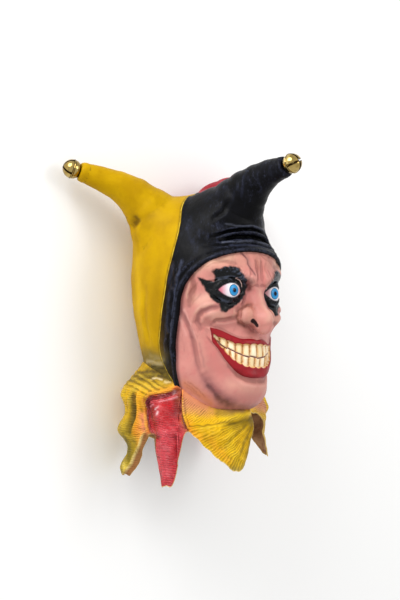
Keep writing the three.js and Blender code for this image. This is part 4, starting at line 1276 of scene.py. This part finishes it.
BELL_OUT, BELL_IN = BELL_R - 0.15, BELL_R - 1.1  # the shell's radii beside its seam
SLOT_BOX, SLOT_HEIGHT = (30, 1.7, 12.4, 1), 8
HOLE_R, HOLE_HEIGHT = 1.75, 2.2  # the round ends of the slots
PELLET_R, PELLET_AT = 3.4, (0.6, -0.8, 6.6)
BELL_TURN = 0.45  # about the horn's axis, so that a slot shows


def bell_mesh():
    """A jingle bell at the origin with its top towards +Z, in millimetres."""
    made = bmesh.new()
    bmesh.ops.create_uvsphere(made, u_segments=72, v_segments=48, radius=BELL_OUT)
    for v in made.verts:
        seam = math.exp(-((v.co.z / 0.55) ** 2)) * 0.55
        rim = 0.25 * math.exp(-(((v.co.z + 10.8) / 0.5) ** 2))
        v.co += v.co.normalized() * (seam + rim)
    mesh = bpy.data.meshes.new("bell")
    made.to_mesh(mesh)
    made.free()
    return mesh


def bell_attributes(mesh):
    """How near the seam, the slots and the horn's rim each point is, in the bell's own frame."""
    x, y, z = mesh_points(mesh).T
    slot = np.where(z > 1.5, np.minimum(np.abs(x), np.abs(y)), 9)
    set_attributes(mesh, dict(seam=np.abs(np.abs(z) - 0.9), slot=slot, rim=z + BELL_R - CUP_DEPTH))


def from_bmesh(name, made):
    mesh = bpy.data.meshes.new(name)
    made.to_mesh(mesh)
    made.free()
    return link(name, mesh)


def cylinder(into, radius, depth, segments, matrix):
    bmesh.ops.create_cone(
        into, cap_ends=True, segments=segments, radius1=radius, radius2=radius, depth=depth, matrix=matrix,
    )


def build_bell(name, horn):
    """A hollow bell with crossed slots, a shank and a pellet, on the end of its horn."""
    _, heading, line = horn
    end, out = horn_end(heading, line)
    bell = link(name, bell_mesh())
    void = bmesh.new()
    bmesh.ops.create_uvsphere(void, u_segments=48, v_segments=32, radius=BELL_IN)
    cut_with(bell, from_bmesh("void", void))
    for quarter in (0, 90):
        about = Matrix.Rotation(quarter * RAD, 4, "Z")
        slot = bmesh.new()
        slot_at = about @ Matrix.Translation((0, 0, SLOT_HEIGHT)) @ Matrix.Diagonal(SLOT_BOX)
        bmesh.ops.create_cube(slot, size=1, matrix=slot_at)
        cut_with(bell, from_bmesh("slot", slot))
        hole = bmesh.new()
        hole_at = about @ Matrix.Translation((0, 0, HOLE_HEIGHT)) @ Matrix.Rotation(math.pi / 2, 4, "Y")
        cylinder(hole, HOLE_R, 40, 28, hole_at)
        cut_with(bell, from_bmesh("hole", hole))
    parts = bmesh.new()
    parts.from_mesh(bell.data)
    cylinder(parts, SHANK_R - 0.2, SHANK, 32, Matrix.Translation((0, 0, -BELL_R - SHANK / 2 + 1.0)))
    pellet_at = Matrix.Translation(PELLET_AT)
    bmesh.ops.create_uvsphere(parts, u_segments=24, v_segments=16, radius=PELLET_R, matrix=pellet_at)
    parts.to_mesh(bell.data)
    parts.free()
    bell_attributes(bell.data)
    spot = Matrix.Translation(laid_point(end + out * (BELL_R + BELL_GAP)))
    turn = Vector((0, 0, 1)).rotation_difference(laid(out)).to_matrix().to_4x4()
    to_metres = Matrix.Diagonal((0.001, 0.001, 0.001, 1))
    bell.data.transform(spot @ turn @ Matrix.Rotation(BELL_TURN, 4, "Z") @ to_metres)
    return bell


# Materials.

def srgb(*rgb):
    """A colour of 0 to 255 as linear numbers, with an alpha of 1."""
    shares = [c / 255 for c in rgb]
    return tuple(c / 12.92 if c <= 0.04045 else ((c + 0.055) / 1.055) ** 2.4 for c in shares) + (1.0,)


class Paint:
    """Builds one material's nodes. As a value, a name stands for an attribute and three numbers
    stand for a colour."""

    def __init__(self, name):
        self.material = bpy.data.materials.new(name)
        self.material.use_nodes = True
        self.nodes, self.links = self.material.node_tree.nodes, self.material.node_tree.links
        self.shader = self.nodes["Principled BSDF"]
        self.where = self.nodes.new("ShaderNodeTexCoord").outputs["Object"]

    def put(self, socket, value):
        if isinstance(value, str):
            value = self.attribute(value, "Fac")
        elif isinstance(value, tuple) and len(value) == 3:
            value = srgb(*value)
        if isinstance(value, bpy.types.NodeSocket):
            self.links.new(value, socket)
        elif value is not None:
            socket.default_value = value

    def attribute(self, name, output):
        n = self.nodes.new("ShaderNodeAttribute")
        n.attribute_name = "m_" + name
        return n.outputs[output]

    def math(self, operation, a, b=None, c=None):
        n = self.nodes.new("ShaderNodeMath")
        n.operation = operation
        for socket, value in zip(n.inputs, (a, b, c)):
            self.put(socket, value)
        return n.outputs[0]

    def times(self, a, b):
        return self.math("MULTIPLY", a, b)

    def most(self, a, b):
        return self.math("MAXIMUM", a, b)

    def step(self, value, low, high, to_low=0.0, to_high=1.0):
        n = self.nodes.new("ShaderNodeMapRange")
        n.interpolation_type = "SMOOTHSTEP"
        for socket, v in zip(n.inputs[:5], (value, low, high, to_low, to_high)):
            self.put(socket, v)
        return n.outputs[0]

    def noise(self, scale, detail=3.0, rough=0.55, stretch=None, distortion=0.0):
        n = self.nodes.new("ShaderNodeTexNoise")
        where = self.where
        if stretch:
            m = self.nodes.new("ShaderNodeMapping")
            m.inputs["Scale"].default_value = stretch
            self.links.new(self.where, m.inputs["Vector"])
            where = m.outputs[0]
        self.links.new(where, n.inputs["Vector"])
        n.inputs["Scale"].default_value = scale
        n.inputs["Detail"].default_value = detail
        n.inputs["Roughness"].default_value = rough
        n.inputs["Distortion"].default_value = distortion
        return n.outputs["Fac"]

    def flecks(self, noise, low, high, patches, patch_low, patch_high):
        """A fine noise's peaks, only where a broad noise is high too."""
        fleck = self.step(self.noise(*noise), low, high)
        return self.times(fleck, self.step(self.noise(*patches), patch_low, patch_high))

    def mix(self, share, a, b):
        n = self.nodes.new("ShaderNodeMix")
        n.data_type = "RGBA"
        self.put(n.inputs[0], share)
        self.put(n.inputs[6], a)
        self.put(n.inputs[7], b)
        return n.outputs[2]

    def coats(self, colour, *coats):
        """Lays colours over a first colour, one after another, each with its share."""
        for share, paint in coats:
            colour = self.mix(share, colour, paint)
        return colour

    def blend(self, share, a, b):
        n = self.nodes.new("ShaderNodeMix")
        self.put(n.inputs[0], share)
        self.put(n.inputs[2], a)
        self.put(n.inputs[3], b)
        return n.outputs[0]

    def bump(self, height, distance, strength, after=None):
        n = self.nodes.new("ShaderNodeBump")
        n.inputs["Distance"].default_value = distance
        self.put(n.inputs["Strength"], strength)
        self.put(n.inputs["Height"], height)
        if after is not None:
            self.links.new(after, n.inputs["Normal"])
        return n.outputs[0]

    def finish(self, colour, rough, normal):
        self.put(self.shader.inputs["Base Color"], colour)
        self.put(self.shader.inputs["Roughness"], rough)
        self.put(self.shader.inputs["Normal"], normal)
        return self.material


def edged(m, name, soft, rough, shift=0.0):
    """1 where an attribute in millimetres is above 0, with a brushed edge."""
    return m.step(m.math("ADD", name, m.times(m.wobble, rough)), shift - soft, shift + soft)


def bare_skin(m):
    lines = m.flecks((75, 4, 0.6, (1.6, 0.35, 1.6), 0.6), 0.56, 0.66, (22, 2), 0.42, 0.6)
    brow = m.times(m.step("brow", 5.5, 1.5), m.step(m.noise(420, 2, 0.5, (1, 1, 3)), 0.42, 0.6))
    return m.coats(
        m.mix(m.step(m.broad, 0.35, 0.65), (188, 122, 114), (202, 134, 124)),
        (m.step(m.mottle, 0.5, 0.75, 0, 0.5), (196, 112, 108)),
        (m.step("height", 18, 34, 0, 0.3), (200, 148, 122)),
        # Painted shade along the hood's edge and in the creases.
        (m.times(m.step("soft", 0.04, 0.8), 0.8), (96, 52, 52)),
        (m.step("dark", 0.12, 0.7, 0, 0.6), (112, 58, 56)),
        (m.times(lines, 0.28), (150, 86, 80)),
        (m.cover, m.tint),
        # Painted shade in hollows and painted highlights on ridges.
        (m.times(m.hollow, 0.32), (104, 54, 52)),
        (m.times(m.ridge, 0.24), (232, 180, 164)),
        (m.times(brow, 0.3), (160, 92, 84)),
    )


def made_up_skin(m):
    return m.coats(
        m.mix(m.step(m.brushed, 0.5, 0.75), (7, 8, 10), (18, 20, 26)),
        # Painted highlights on the make-up's ridges.
        (m.times(m.ridge, m.step(m.brushed, 0.35, 0.65, 0.2, 0.8)), (66, 72, 88)),
    )


def lip_paint(m):
    return m.coats(
        m.mix(m.step(m.mottle, 0.45, 0.7), (146, 20, 30), (128, 14, 24)),
        (m.step("lips", 1.6, 0.0, 0, 0.6), (88, 10, 18)),
    )


def teeth_paint(m):
    stain = m.step(m.math("MINIMUM", "gap", "gum"), 3.6, 0.3)
    return m.coats(
        m.mix(m.step(m.math("FRACT", "tooth"), 0.0, 1.0), (250, 236, 204), (238, 216, 168)),
        (m.times(stain, m.step(m.brushed, 0.3, 0.7, 0.45, 1.0)), (204, 138, 62)),
        (m.step("gap", 0.7, 0.1, 0, 0.8), (138, 92, 52)),
        (m.step("bite", 1.15, 0.55), (132, 88, 84)),
        (m.step("gum", 0.5, -0.3), (120, 40, 36)),
    )


def eye_paint(m):
    rays = m.math("MULTIPLY_ADD", m.math("SINE", m.times("spin", 23.0)), 0.5, 0.5)
    iris = m.coats(
        m.mix(m.times(rays, m.step("iris", 2.4, 6.0)), (24, 122, 190), (70, 176, 222)),
        (m.step("iris", 5.9, 7.0), (12, 52, 98)),
        (m.step("iris", 3.2, 2.4), (2, 5, 20)),
    )
    return m.coats(
        m.mix(m.step("inner_eye", -12, -38, 0, 0.75), (228, 226, 232), (206, 112, 116)),
        (m.step("inner_eye", 22, 62, 0, 0.9), (190, 84, 104)),
        (m.step("iris", 7.4, 7.0), iris),
        (m.step("eye", 1.9, 0.1, 0, 0.85), (58, 26, 38)),
    )


def black_paint(m):
    """The hood's front, with scuffs, streaks and hairlines, painted highlights on its ridges and painted
    shade in its hollows and folds.
    """
    scuffs = m.flecks((70, 6, 0.75, (1, 0.35, 1)), 0.5, 0.7, (18, 3), 0.4, 0.62)
    streaks = m.flecks((120, 5, 0.7, (1, 0.25, 1)), 0.5, 0.72, (13, 2), 0.42, 0.6)
    hairs = m.flecks((260, 6, 0.8, (1, 0.4, 1)), 0.52, 0.7, (24, 2), 0.38, 0.6)
    # Where the hood is ridged, for painted highlights.
    sharp = m.most(m.step("bend", 0.35, 1.4), m.step("broad", 0.14, 0.4))
    return m.coats(
        m.mix(m.step(m.broad, 0.4, 0.65), (6, 6, 8), (13, 13, 17)),
        (m.times(scuffs, 0.5), (38, 42, 60)),
        (m.times(streaks, 0.45), (52, 56, 76)),
        (m.times(hairs, 0.7), (62, 66, 86)),
        (m.times(sharp, m.step(m.brushed, 0.35, 0.65, 0.05, 0.45)), (66, 70, 90)),
        # Painted shade in hollows and in the folds.
        (m.times(m.hollow, 0.85), (3, 3, 4)),
        (m.step("dark", 0.2, 0.8), (2, 2, 3)),
        (m.step("black", 4.0, 1.0, 0, 0.8), (4, 4, 5)),
        (m.times(m.cover, 0.8), m.tint),
    )


def back_paint(m):
    """The yellow and the red side of the hood, with painted shade in its folds and hollows."""
    # An olive grey that grows from a height of -62 down to -90, darker towards the bottom.
    darker_below = m.times(m.step("height", -62, -90), m.step(m.brushed, 0.25, 0.6, 0.5, 0.9))
    yellow = m.coats(
        m.mix(m.step(m.broad, 0.3, 0.7), (172, 132, 0), (190, 150, 1)),
        (m.step(m.mottle, 0.5, 0.85, 0, 0.25), (168, 128, 0)),
        (m.times(m.step(m.noise(60, 5, 0.7, (1, 0.3, 1)), 0.52, 0.7), 0.25), (146, 108, 0)),
        (darker_below, (104, 94, 44)),
    )
    red = m.coats(
        m.mix(m.step(m.broad, 0.35, 0.65), (140, 30, 42), (156, 40, 52)),
        (m.step(m.mottle, 0.5, 0.78, 0, 0.4), (116, 16, 28)),
    )
    return m.coats(
        m.mix(edged(m, "side", 0.3, 0.4), yellow, red),
        (m.times(m.cover, m.step("side", 1.0, -1.0)), m.tint),
        # Painted shade in the folds and hollows.
        (m.step("dark", 0.05, 0.6, 0, 0.7), (86, 60, 6)),
        (m.times(m.hollow, 0.5), (84, 60, 8)),
        (m.step("black", -4.5, -1.5, 0, 0.45), (66, 52, 10)),
    )


def skin_material():
    m = Paint("painted_latex")
    fine, m.broad, m.mottle = m.noise(900, 3), m.noise(28, 3, 0.6), m.noise(90, 4, 0.6)
    m.wobble = m.math("MULTIPLY_ADD", m.noise(160, 3, 0.6), 2.4, -1.2)
    m.brushed = m.noise(210, 4, 0.65, (1, 1, 0.45))
    # Painted shade in hollows and painted highlights on ridges, from how the surface bends.
    m.hollow = m.most(m.step("bend", -0.12, -1.0), m.step("broad", -0.03, -0.22))
    m.ridge = m.most(m.step("bend", 0.25, 1.2), m.step("broad", 0.06, 0.25))
    m.cover = m.times("cover", m.step(m.brushed, 0.2, 0.6, 0.7, 1.0))
    m.tint = m.attribute("tint", "Color")
    makeup = m.times(edged(m, "makeup", 1.5, 0.75), m.step("face", 2, 4))
    lips = m.times(edged(m, "lips", 0.3, 0.35), "on")
    teeth = m.step("teeth", -0.1, 0.5)
    eye = m.step("eye", -0.25, 0.25)
    face = m.coats(
        bare_skin(m), (makeup, made_up_skin(m)), (lips, lip_paint(m)), (m.times(teeth, "on"), teeth_paint(m)),
        (eye, eye_paint(m)),
        (m.step("glint", 0.1, 0.7, 0, 0.85), (226, 188, 180)),
        # Painted shade inside the nostril.
        (m.step("nostril", 3.5, 2.3), (36, 12, 14)),
    )
    black_edge = edged(m, "black", 0.3, 0.35)
    piping = m.step(m.math("ABSOLUTE", m.math("ADD", "black", 1.1)), 0.7, 0.3)
    piping = m.times(piping, m.step(m.mottle, 0.35, 0.6, 0.2, 0.85))
    hood = m.coats(back_paint(m), (black_edge, black_paint(m)), (piping, (214, 186, 60)))
    on_face = edged(m, "face", 0.35, 0.5, 0.6)
    tan = m.mix(m.step(m.mottle, 0.4, 0.7), (188, 142, 98), (166, 118, 78))
    rough = m.blend(on_face, m.blend(black_edge, 0.5, 0.4), 0.46)
    for share, value in ((makeup, 0.28), (lips, 0.36), (m.times(teeth, "on"), 0.25), (eye, 0.07)):
        rough = m.blend(m.times(share, on_face), rough, value)
    rough = m.math("ADD", m.blend("inner", rough, 0.62), m.step(fine, 0.3, 0.7, -0.05, 0.05))
    even = m.most(eye, m.times(teeth, 0.7))
    grain = m.math("ADD", m.times(fine, 0.35), m.noise(260, 4, 0.6))
    skin_grain = m.bump(grain, 0.00035, m.blend(even, 0.55, 0.02))
    depth = m.blend(on_face, 0.45, m.blend(even, 0.3, 0.0))
    brush_marks = m.bump(m.noise(95, 5, 0.65, (1, 0.4, 1)), 0.0012, depth, skin_grain)
    shine = m.blend(on_face, m.blend(black_edge, 0.06, 0.07), 0.24)
    shine = m.blend(m.most(eye, m.times(makeup, on_face)), shine, 0.2)
    m.put(m.shader.inputs["Specular IOR Level"], shine)
    m.shader.inputs["Subsurface Weight"].default_value = 0.02
    m.shader.inputs["Subsurface Radius"].default_value = (0.002, 0.001, 0.0006)
    return m.finish(m.coats(hood, (on_face, face), ("inner", tan)), rough, brush_marks)


def collar_material():
    m = Paint("painted_latex_collar")
    fine, broad, mottle = m.noise(900, 3), m.noise(26, 3, 0.6), m.noise(85, 4, 0.6)
    brushed = m.noise(180, 4, 0.65)
    wobble = m.math("MULTIPLY_ADD", m.noise(150, 3, 0.6), 2.4, -1.2)
    wander = m.math("MULTIPLY_ADD", m.noise(45, 3, 0.55), 3.6, -1.8)
    turn = m.times(m.math("ADD", "rib", wander), 6.2832)
    ribs = m.math("MULTIPLY_ADD", m.math("SINE", turn), 0.5, 0.5)
    broken = m.step(m.noise(38, 3, 0.6), 0.36, 0.56, 0.35, 1.0)
    broken = m.times(m.step(m.noise(110, 3, 0.6), 0.34, 0.52), broken)
    # Painted shade in the ribs' grooves, and painted highlights on their crests.
    lines = m.times(m.times(m.step(ribs, 0.42, 0.05), broken), "rib_on")
    crest_highlights = m.times(m.times(m.step(ribs, 0.75, 0.98), m.step(brushed, 0.4, 0.65)), "rib_on")
    is_red = m.step(m.math("ADD", "red", m.times(wobble, 0.5)), -0.5, 0.5)
    # Painted shade in hollows and painted highlights on ridges, from how the collar bends.
    hollow, ridge = m.step("hollow", 0.05, 0.5), m.step("hollow", -0.08, -0.5)
    edge = m.step(m.math("ADD", "edge", m.times(wobble, 0.35)), 1.2, 0.5)
    yellow = m.coats(
        m.mix(m.step(broad, 0.35, 0.65), (206, 160, 1), (230, 182, 3)),
        (m.step(mottle, 0.48, 0.74, 0, 0.5), (162, 124, 4)),
        (m.times("orange", m.step(mottle, 0.3, 0.6, 0.55, 1)), (232, 120, 20)),
        (m.step(m.math("ADD", "pink", m.times(wobble, 0.12)), 0.15, 0.85), (206, 136, 106)),
        (m.times("green", m.step(mottle, 0.35, 0.65, 0.35, 0.8)), (112, 104, 34)),
        # Darker wash with painted shade below where the collar meets the head and in its folds.
        (m.times("dirt", m.step(mottle, 0.3, 0.62, 0.3, 0.8)), (84, 68, 20)),
    )
    red = m.coats(
        m.mix(m.step(broad, 0.35, 0.65), (176, 18, 28), (200, 32, 42)),
        (m.step("red", 3.5, 0.5, 0, 0.5), (120, 10, 20)),
    )
    inside = m.coats(
        m.mix(m.step(mottle, 0.4, 0.7), (172, 128, 88), (138, 94, 62)),
        (m.times(m.step("edge", 2.4, 0.6), 0.7), (214, 178, 90)),
    )
    colour = m.coats(
        m.mix(is_red, yellow, red),
        (m.times("cover", m.step(brushed, 0.2, 0.55, 0.65, 1.0)), m.attribute("tint", "Color")),
        # Painted shade in hollows and the ribs' grooves, painted highlights on ridges and the ribs' crests.
        (m.times(hollow, 0.6), m.mix(is_red, (84, 66, 10), (90, 6, 16))),
        (m.times(ridge, 0.28), m.mix(is_red, (244, 206, 70), (240, 110, 118))),
        (m.times(lines, 0.62), m.mix(is_red, (84, 66, 12), (104, 6, 18))),
        (m.times(crest_highlights, m.blend(is_red, 0.22, 0.3)), m.mix(is_red, (246, 214, 110), (244, 136, 140))),
        (m.times(edge, 0.75), (226, 200, 130)),
        ("tan", (146, 98, 54)),
        ("bright", (240, 216, 140)),
        ("inner", inside),
    )
    rough = m.blend("inner", m.blend(is_red, 0.5, 0.26), 0.6)
    rough = m.math("ADD", rough, m.step(mottle, 0.3, 0.7, -0.06, 0.08))
    rib_height = m.times(ribs, m.times("rib_on", m.step(m.noise(120, 2), 0.3, 0.6, 0.45, 1.0)))
    grain = m.bump(m.math("ADD", m.times(fine, 0.3), m.noise(260, 4, 0.6)), 0.0003, 0.5)
    ribbed = m.bump(rib_height, 0.0008, m.blend("inner", 1.0, 0.35), grain)
    red_outside = m.times(is_red, m.math("SUBTRACT", 1.0, "inner"))
    m.put(m.shader.inputs["Specular IOR Level"], m.blend(red_outside, 0.16, 0.42))
    return m.finish(colour, rough, ribbed)


def brass_material():
    m = Paint("polished_brass")
    broad, fine = m.noise(60, 4, 0.6), m.noise(500, 4, 0.6)
    near = m.math("MINIMUM", "seam", m.math("SUBTRACT", "slot", 0.9))
    # Darker at the seam, round the slots and at the horn's rim: tarnish, with painted shade and dark
    # reflections there.
    tarnish_and_shade = m.most(m.step(near, 0.9, 0.2), m.step("rim", 2.6, 0.6))
    # The broad lighter and darker patches of brass are painted reflections.
    colour = m.coats(
        m.mix(m.step(broad, 0.35, 0.7), (198, 174, 110), (148, 122, 62)),
        (m.times(tarnish_and_shade, m.step(fine, 0.25, 0.6, 0.7, 1.0)), (74, 54, 20)),
    )
    m.shader.inputs["Metallic"].default_value = 1.0
    return m.finish(colour, m.step(fine, 0.35, 0.75, 0.1, 0.2), m.bump(fine, 0.0001, 0.2))


# Camera, floor and light.

VIEW_HEADING, VIEW_RISE = 42 * RAD, 5 * RAD  # from the wearer's front, and from below
VIEW_RIGHT = np.array([0.743, -0.669, 0.0])
VIEW_DISTANCE = 1550
LENS_PER_HEIGHT = 1240 / 600
MM_PER_PIXEL = 1.25


def build_camera():
    """The camera and its three axes in the head's frame."""
    flat = math.cos(VIEW_RISE)
    toward = np.array([
        -math.sin(VIEW_HEADING) * flat, -math.cos(VIEW_HEADING) * flat, -math.sin(VIEW_RISE),
    ])
    up = np.cross(toward, VIEW_RIGHT)
    target = -(209.4 - 200) * MM_PER_PIXEL * VIEW_RIGHT + (295.4 - 300) * MM_PER_PIXEL * up
    data = bpy.data.cameras.new("camera")
    data.sensor_fit = "VERTICAL"
    data.sensor_height = 24
    data.lens = 24 * LENS_PER_HEIGHT
    camera = link("camera", data)
    turn = Matrix([laid(VIEW_RIGHT), laid(up), laid(toward)]).transposed()
    camera.matrix_world = Matrix.Translation(laid_point(target + VIEW_DISTANCE * toward)) @ turn.to_4x4()
    bpy.context.scene.camera = camera
    bpy.context.scene.view_settings.view_transform = "Standard"
    return VIEW_RIGHT, up, toward


def area_light(name, direction, distance, size, power):
    data = bpy.data.lights.new(name, "AREA")
    data.shape, data.size, data.energy = "DISK", size, power
    light = link(name, data)
    d = direction.normalized()
    light.location = Vector((0, 0, 0.1)) + d * distance
    light.rotation_euler = d.to_track_quat("Z", "Y").to_euler()
    return light


def build_stage(right, up, toward):
    """The floor and the lights round it, placed by the camera's axes."""
    right, up, toward = laid(right), laid(up), laid(toward)
    bpy.ops.mesh.primitive_plane_add(size=8, location=(0, 0, -0.0005))
    floor = bpy.context.object
    floor.name = "floor"
    floor.data.materials.append(Paint("floor").finish((250, 250, 249), 0.85, None))
    lights = [
        area_light("key", toward * 0.7 + up * 0.85 - right * 0.45, 1.7, 1.1, 21),
        area_light("fill", toward * 0.4 + right * 0.9 + up * 0.35, 1.7, 0.8, 6),
        area_light("rim", -right * 0.9 + up * 0.2 + Vector((0, 0, 0.35)), 1.6, 0.7, 5),
    ]
    world = bpy.data.worlds.new("studio")
    bpy.context.scene.world = world
    world.use_nodes = True
    background = world.node_tree.nodes["Background"]
    background.inputs["Color"].default_value = (1, 1, 1, 1)
    background.inputs["Strength"].default_value = 0.82


def hand_over(piece, nodes, material, sharp):
    """Gives a piece its material and says what it rides on, replaces and is made of."""
    piece.data.materials.clear()
    piece.data.materials.append(material)
    for polygon in piece.data.polygons:
        polygon.use_smooth = True
    piece.data.set_sharp_from_angle(angle=sharp)
    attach(piece, "root")
    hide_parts(*nodes)


SHARP_LATEX, SHARP_BRASS = 1.1, 0.6  # the angle from which an edge is sharp

build_stage(*build_camera())
hand_over(build_head(), ["latex_mask"], skin_material(), SHARP_LATEX)
collar_points, collar_faces, collar_facts = build_collar()
collar = make_object("mask_collar", collar_points, collar_faces)
collar_attributes(collar.data, collar_facts)
hand_over(collar, ["latex_mask"], collar_material(), SHARP_LATEX)
brass = brass_material()
for horn in HORNS:
    bell = build_bell("jingle_bell_" + horn[0], horn)
    hand_over(bell, ["bell_%s_horn" % horn[0]], brass, SHARP_BRASS)
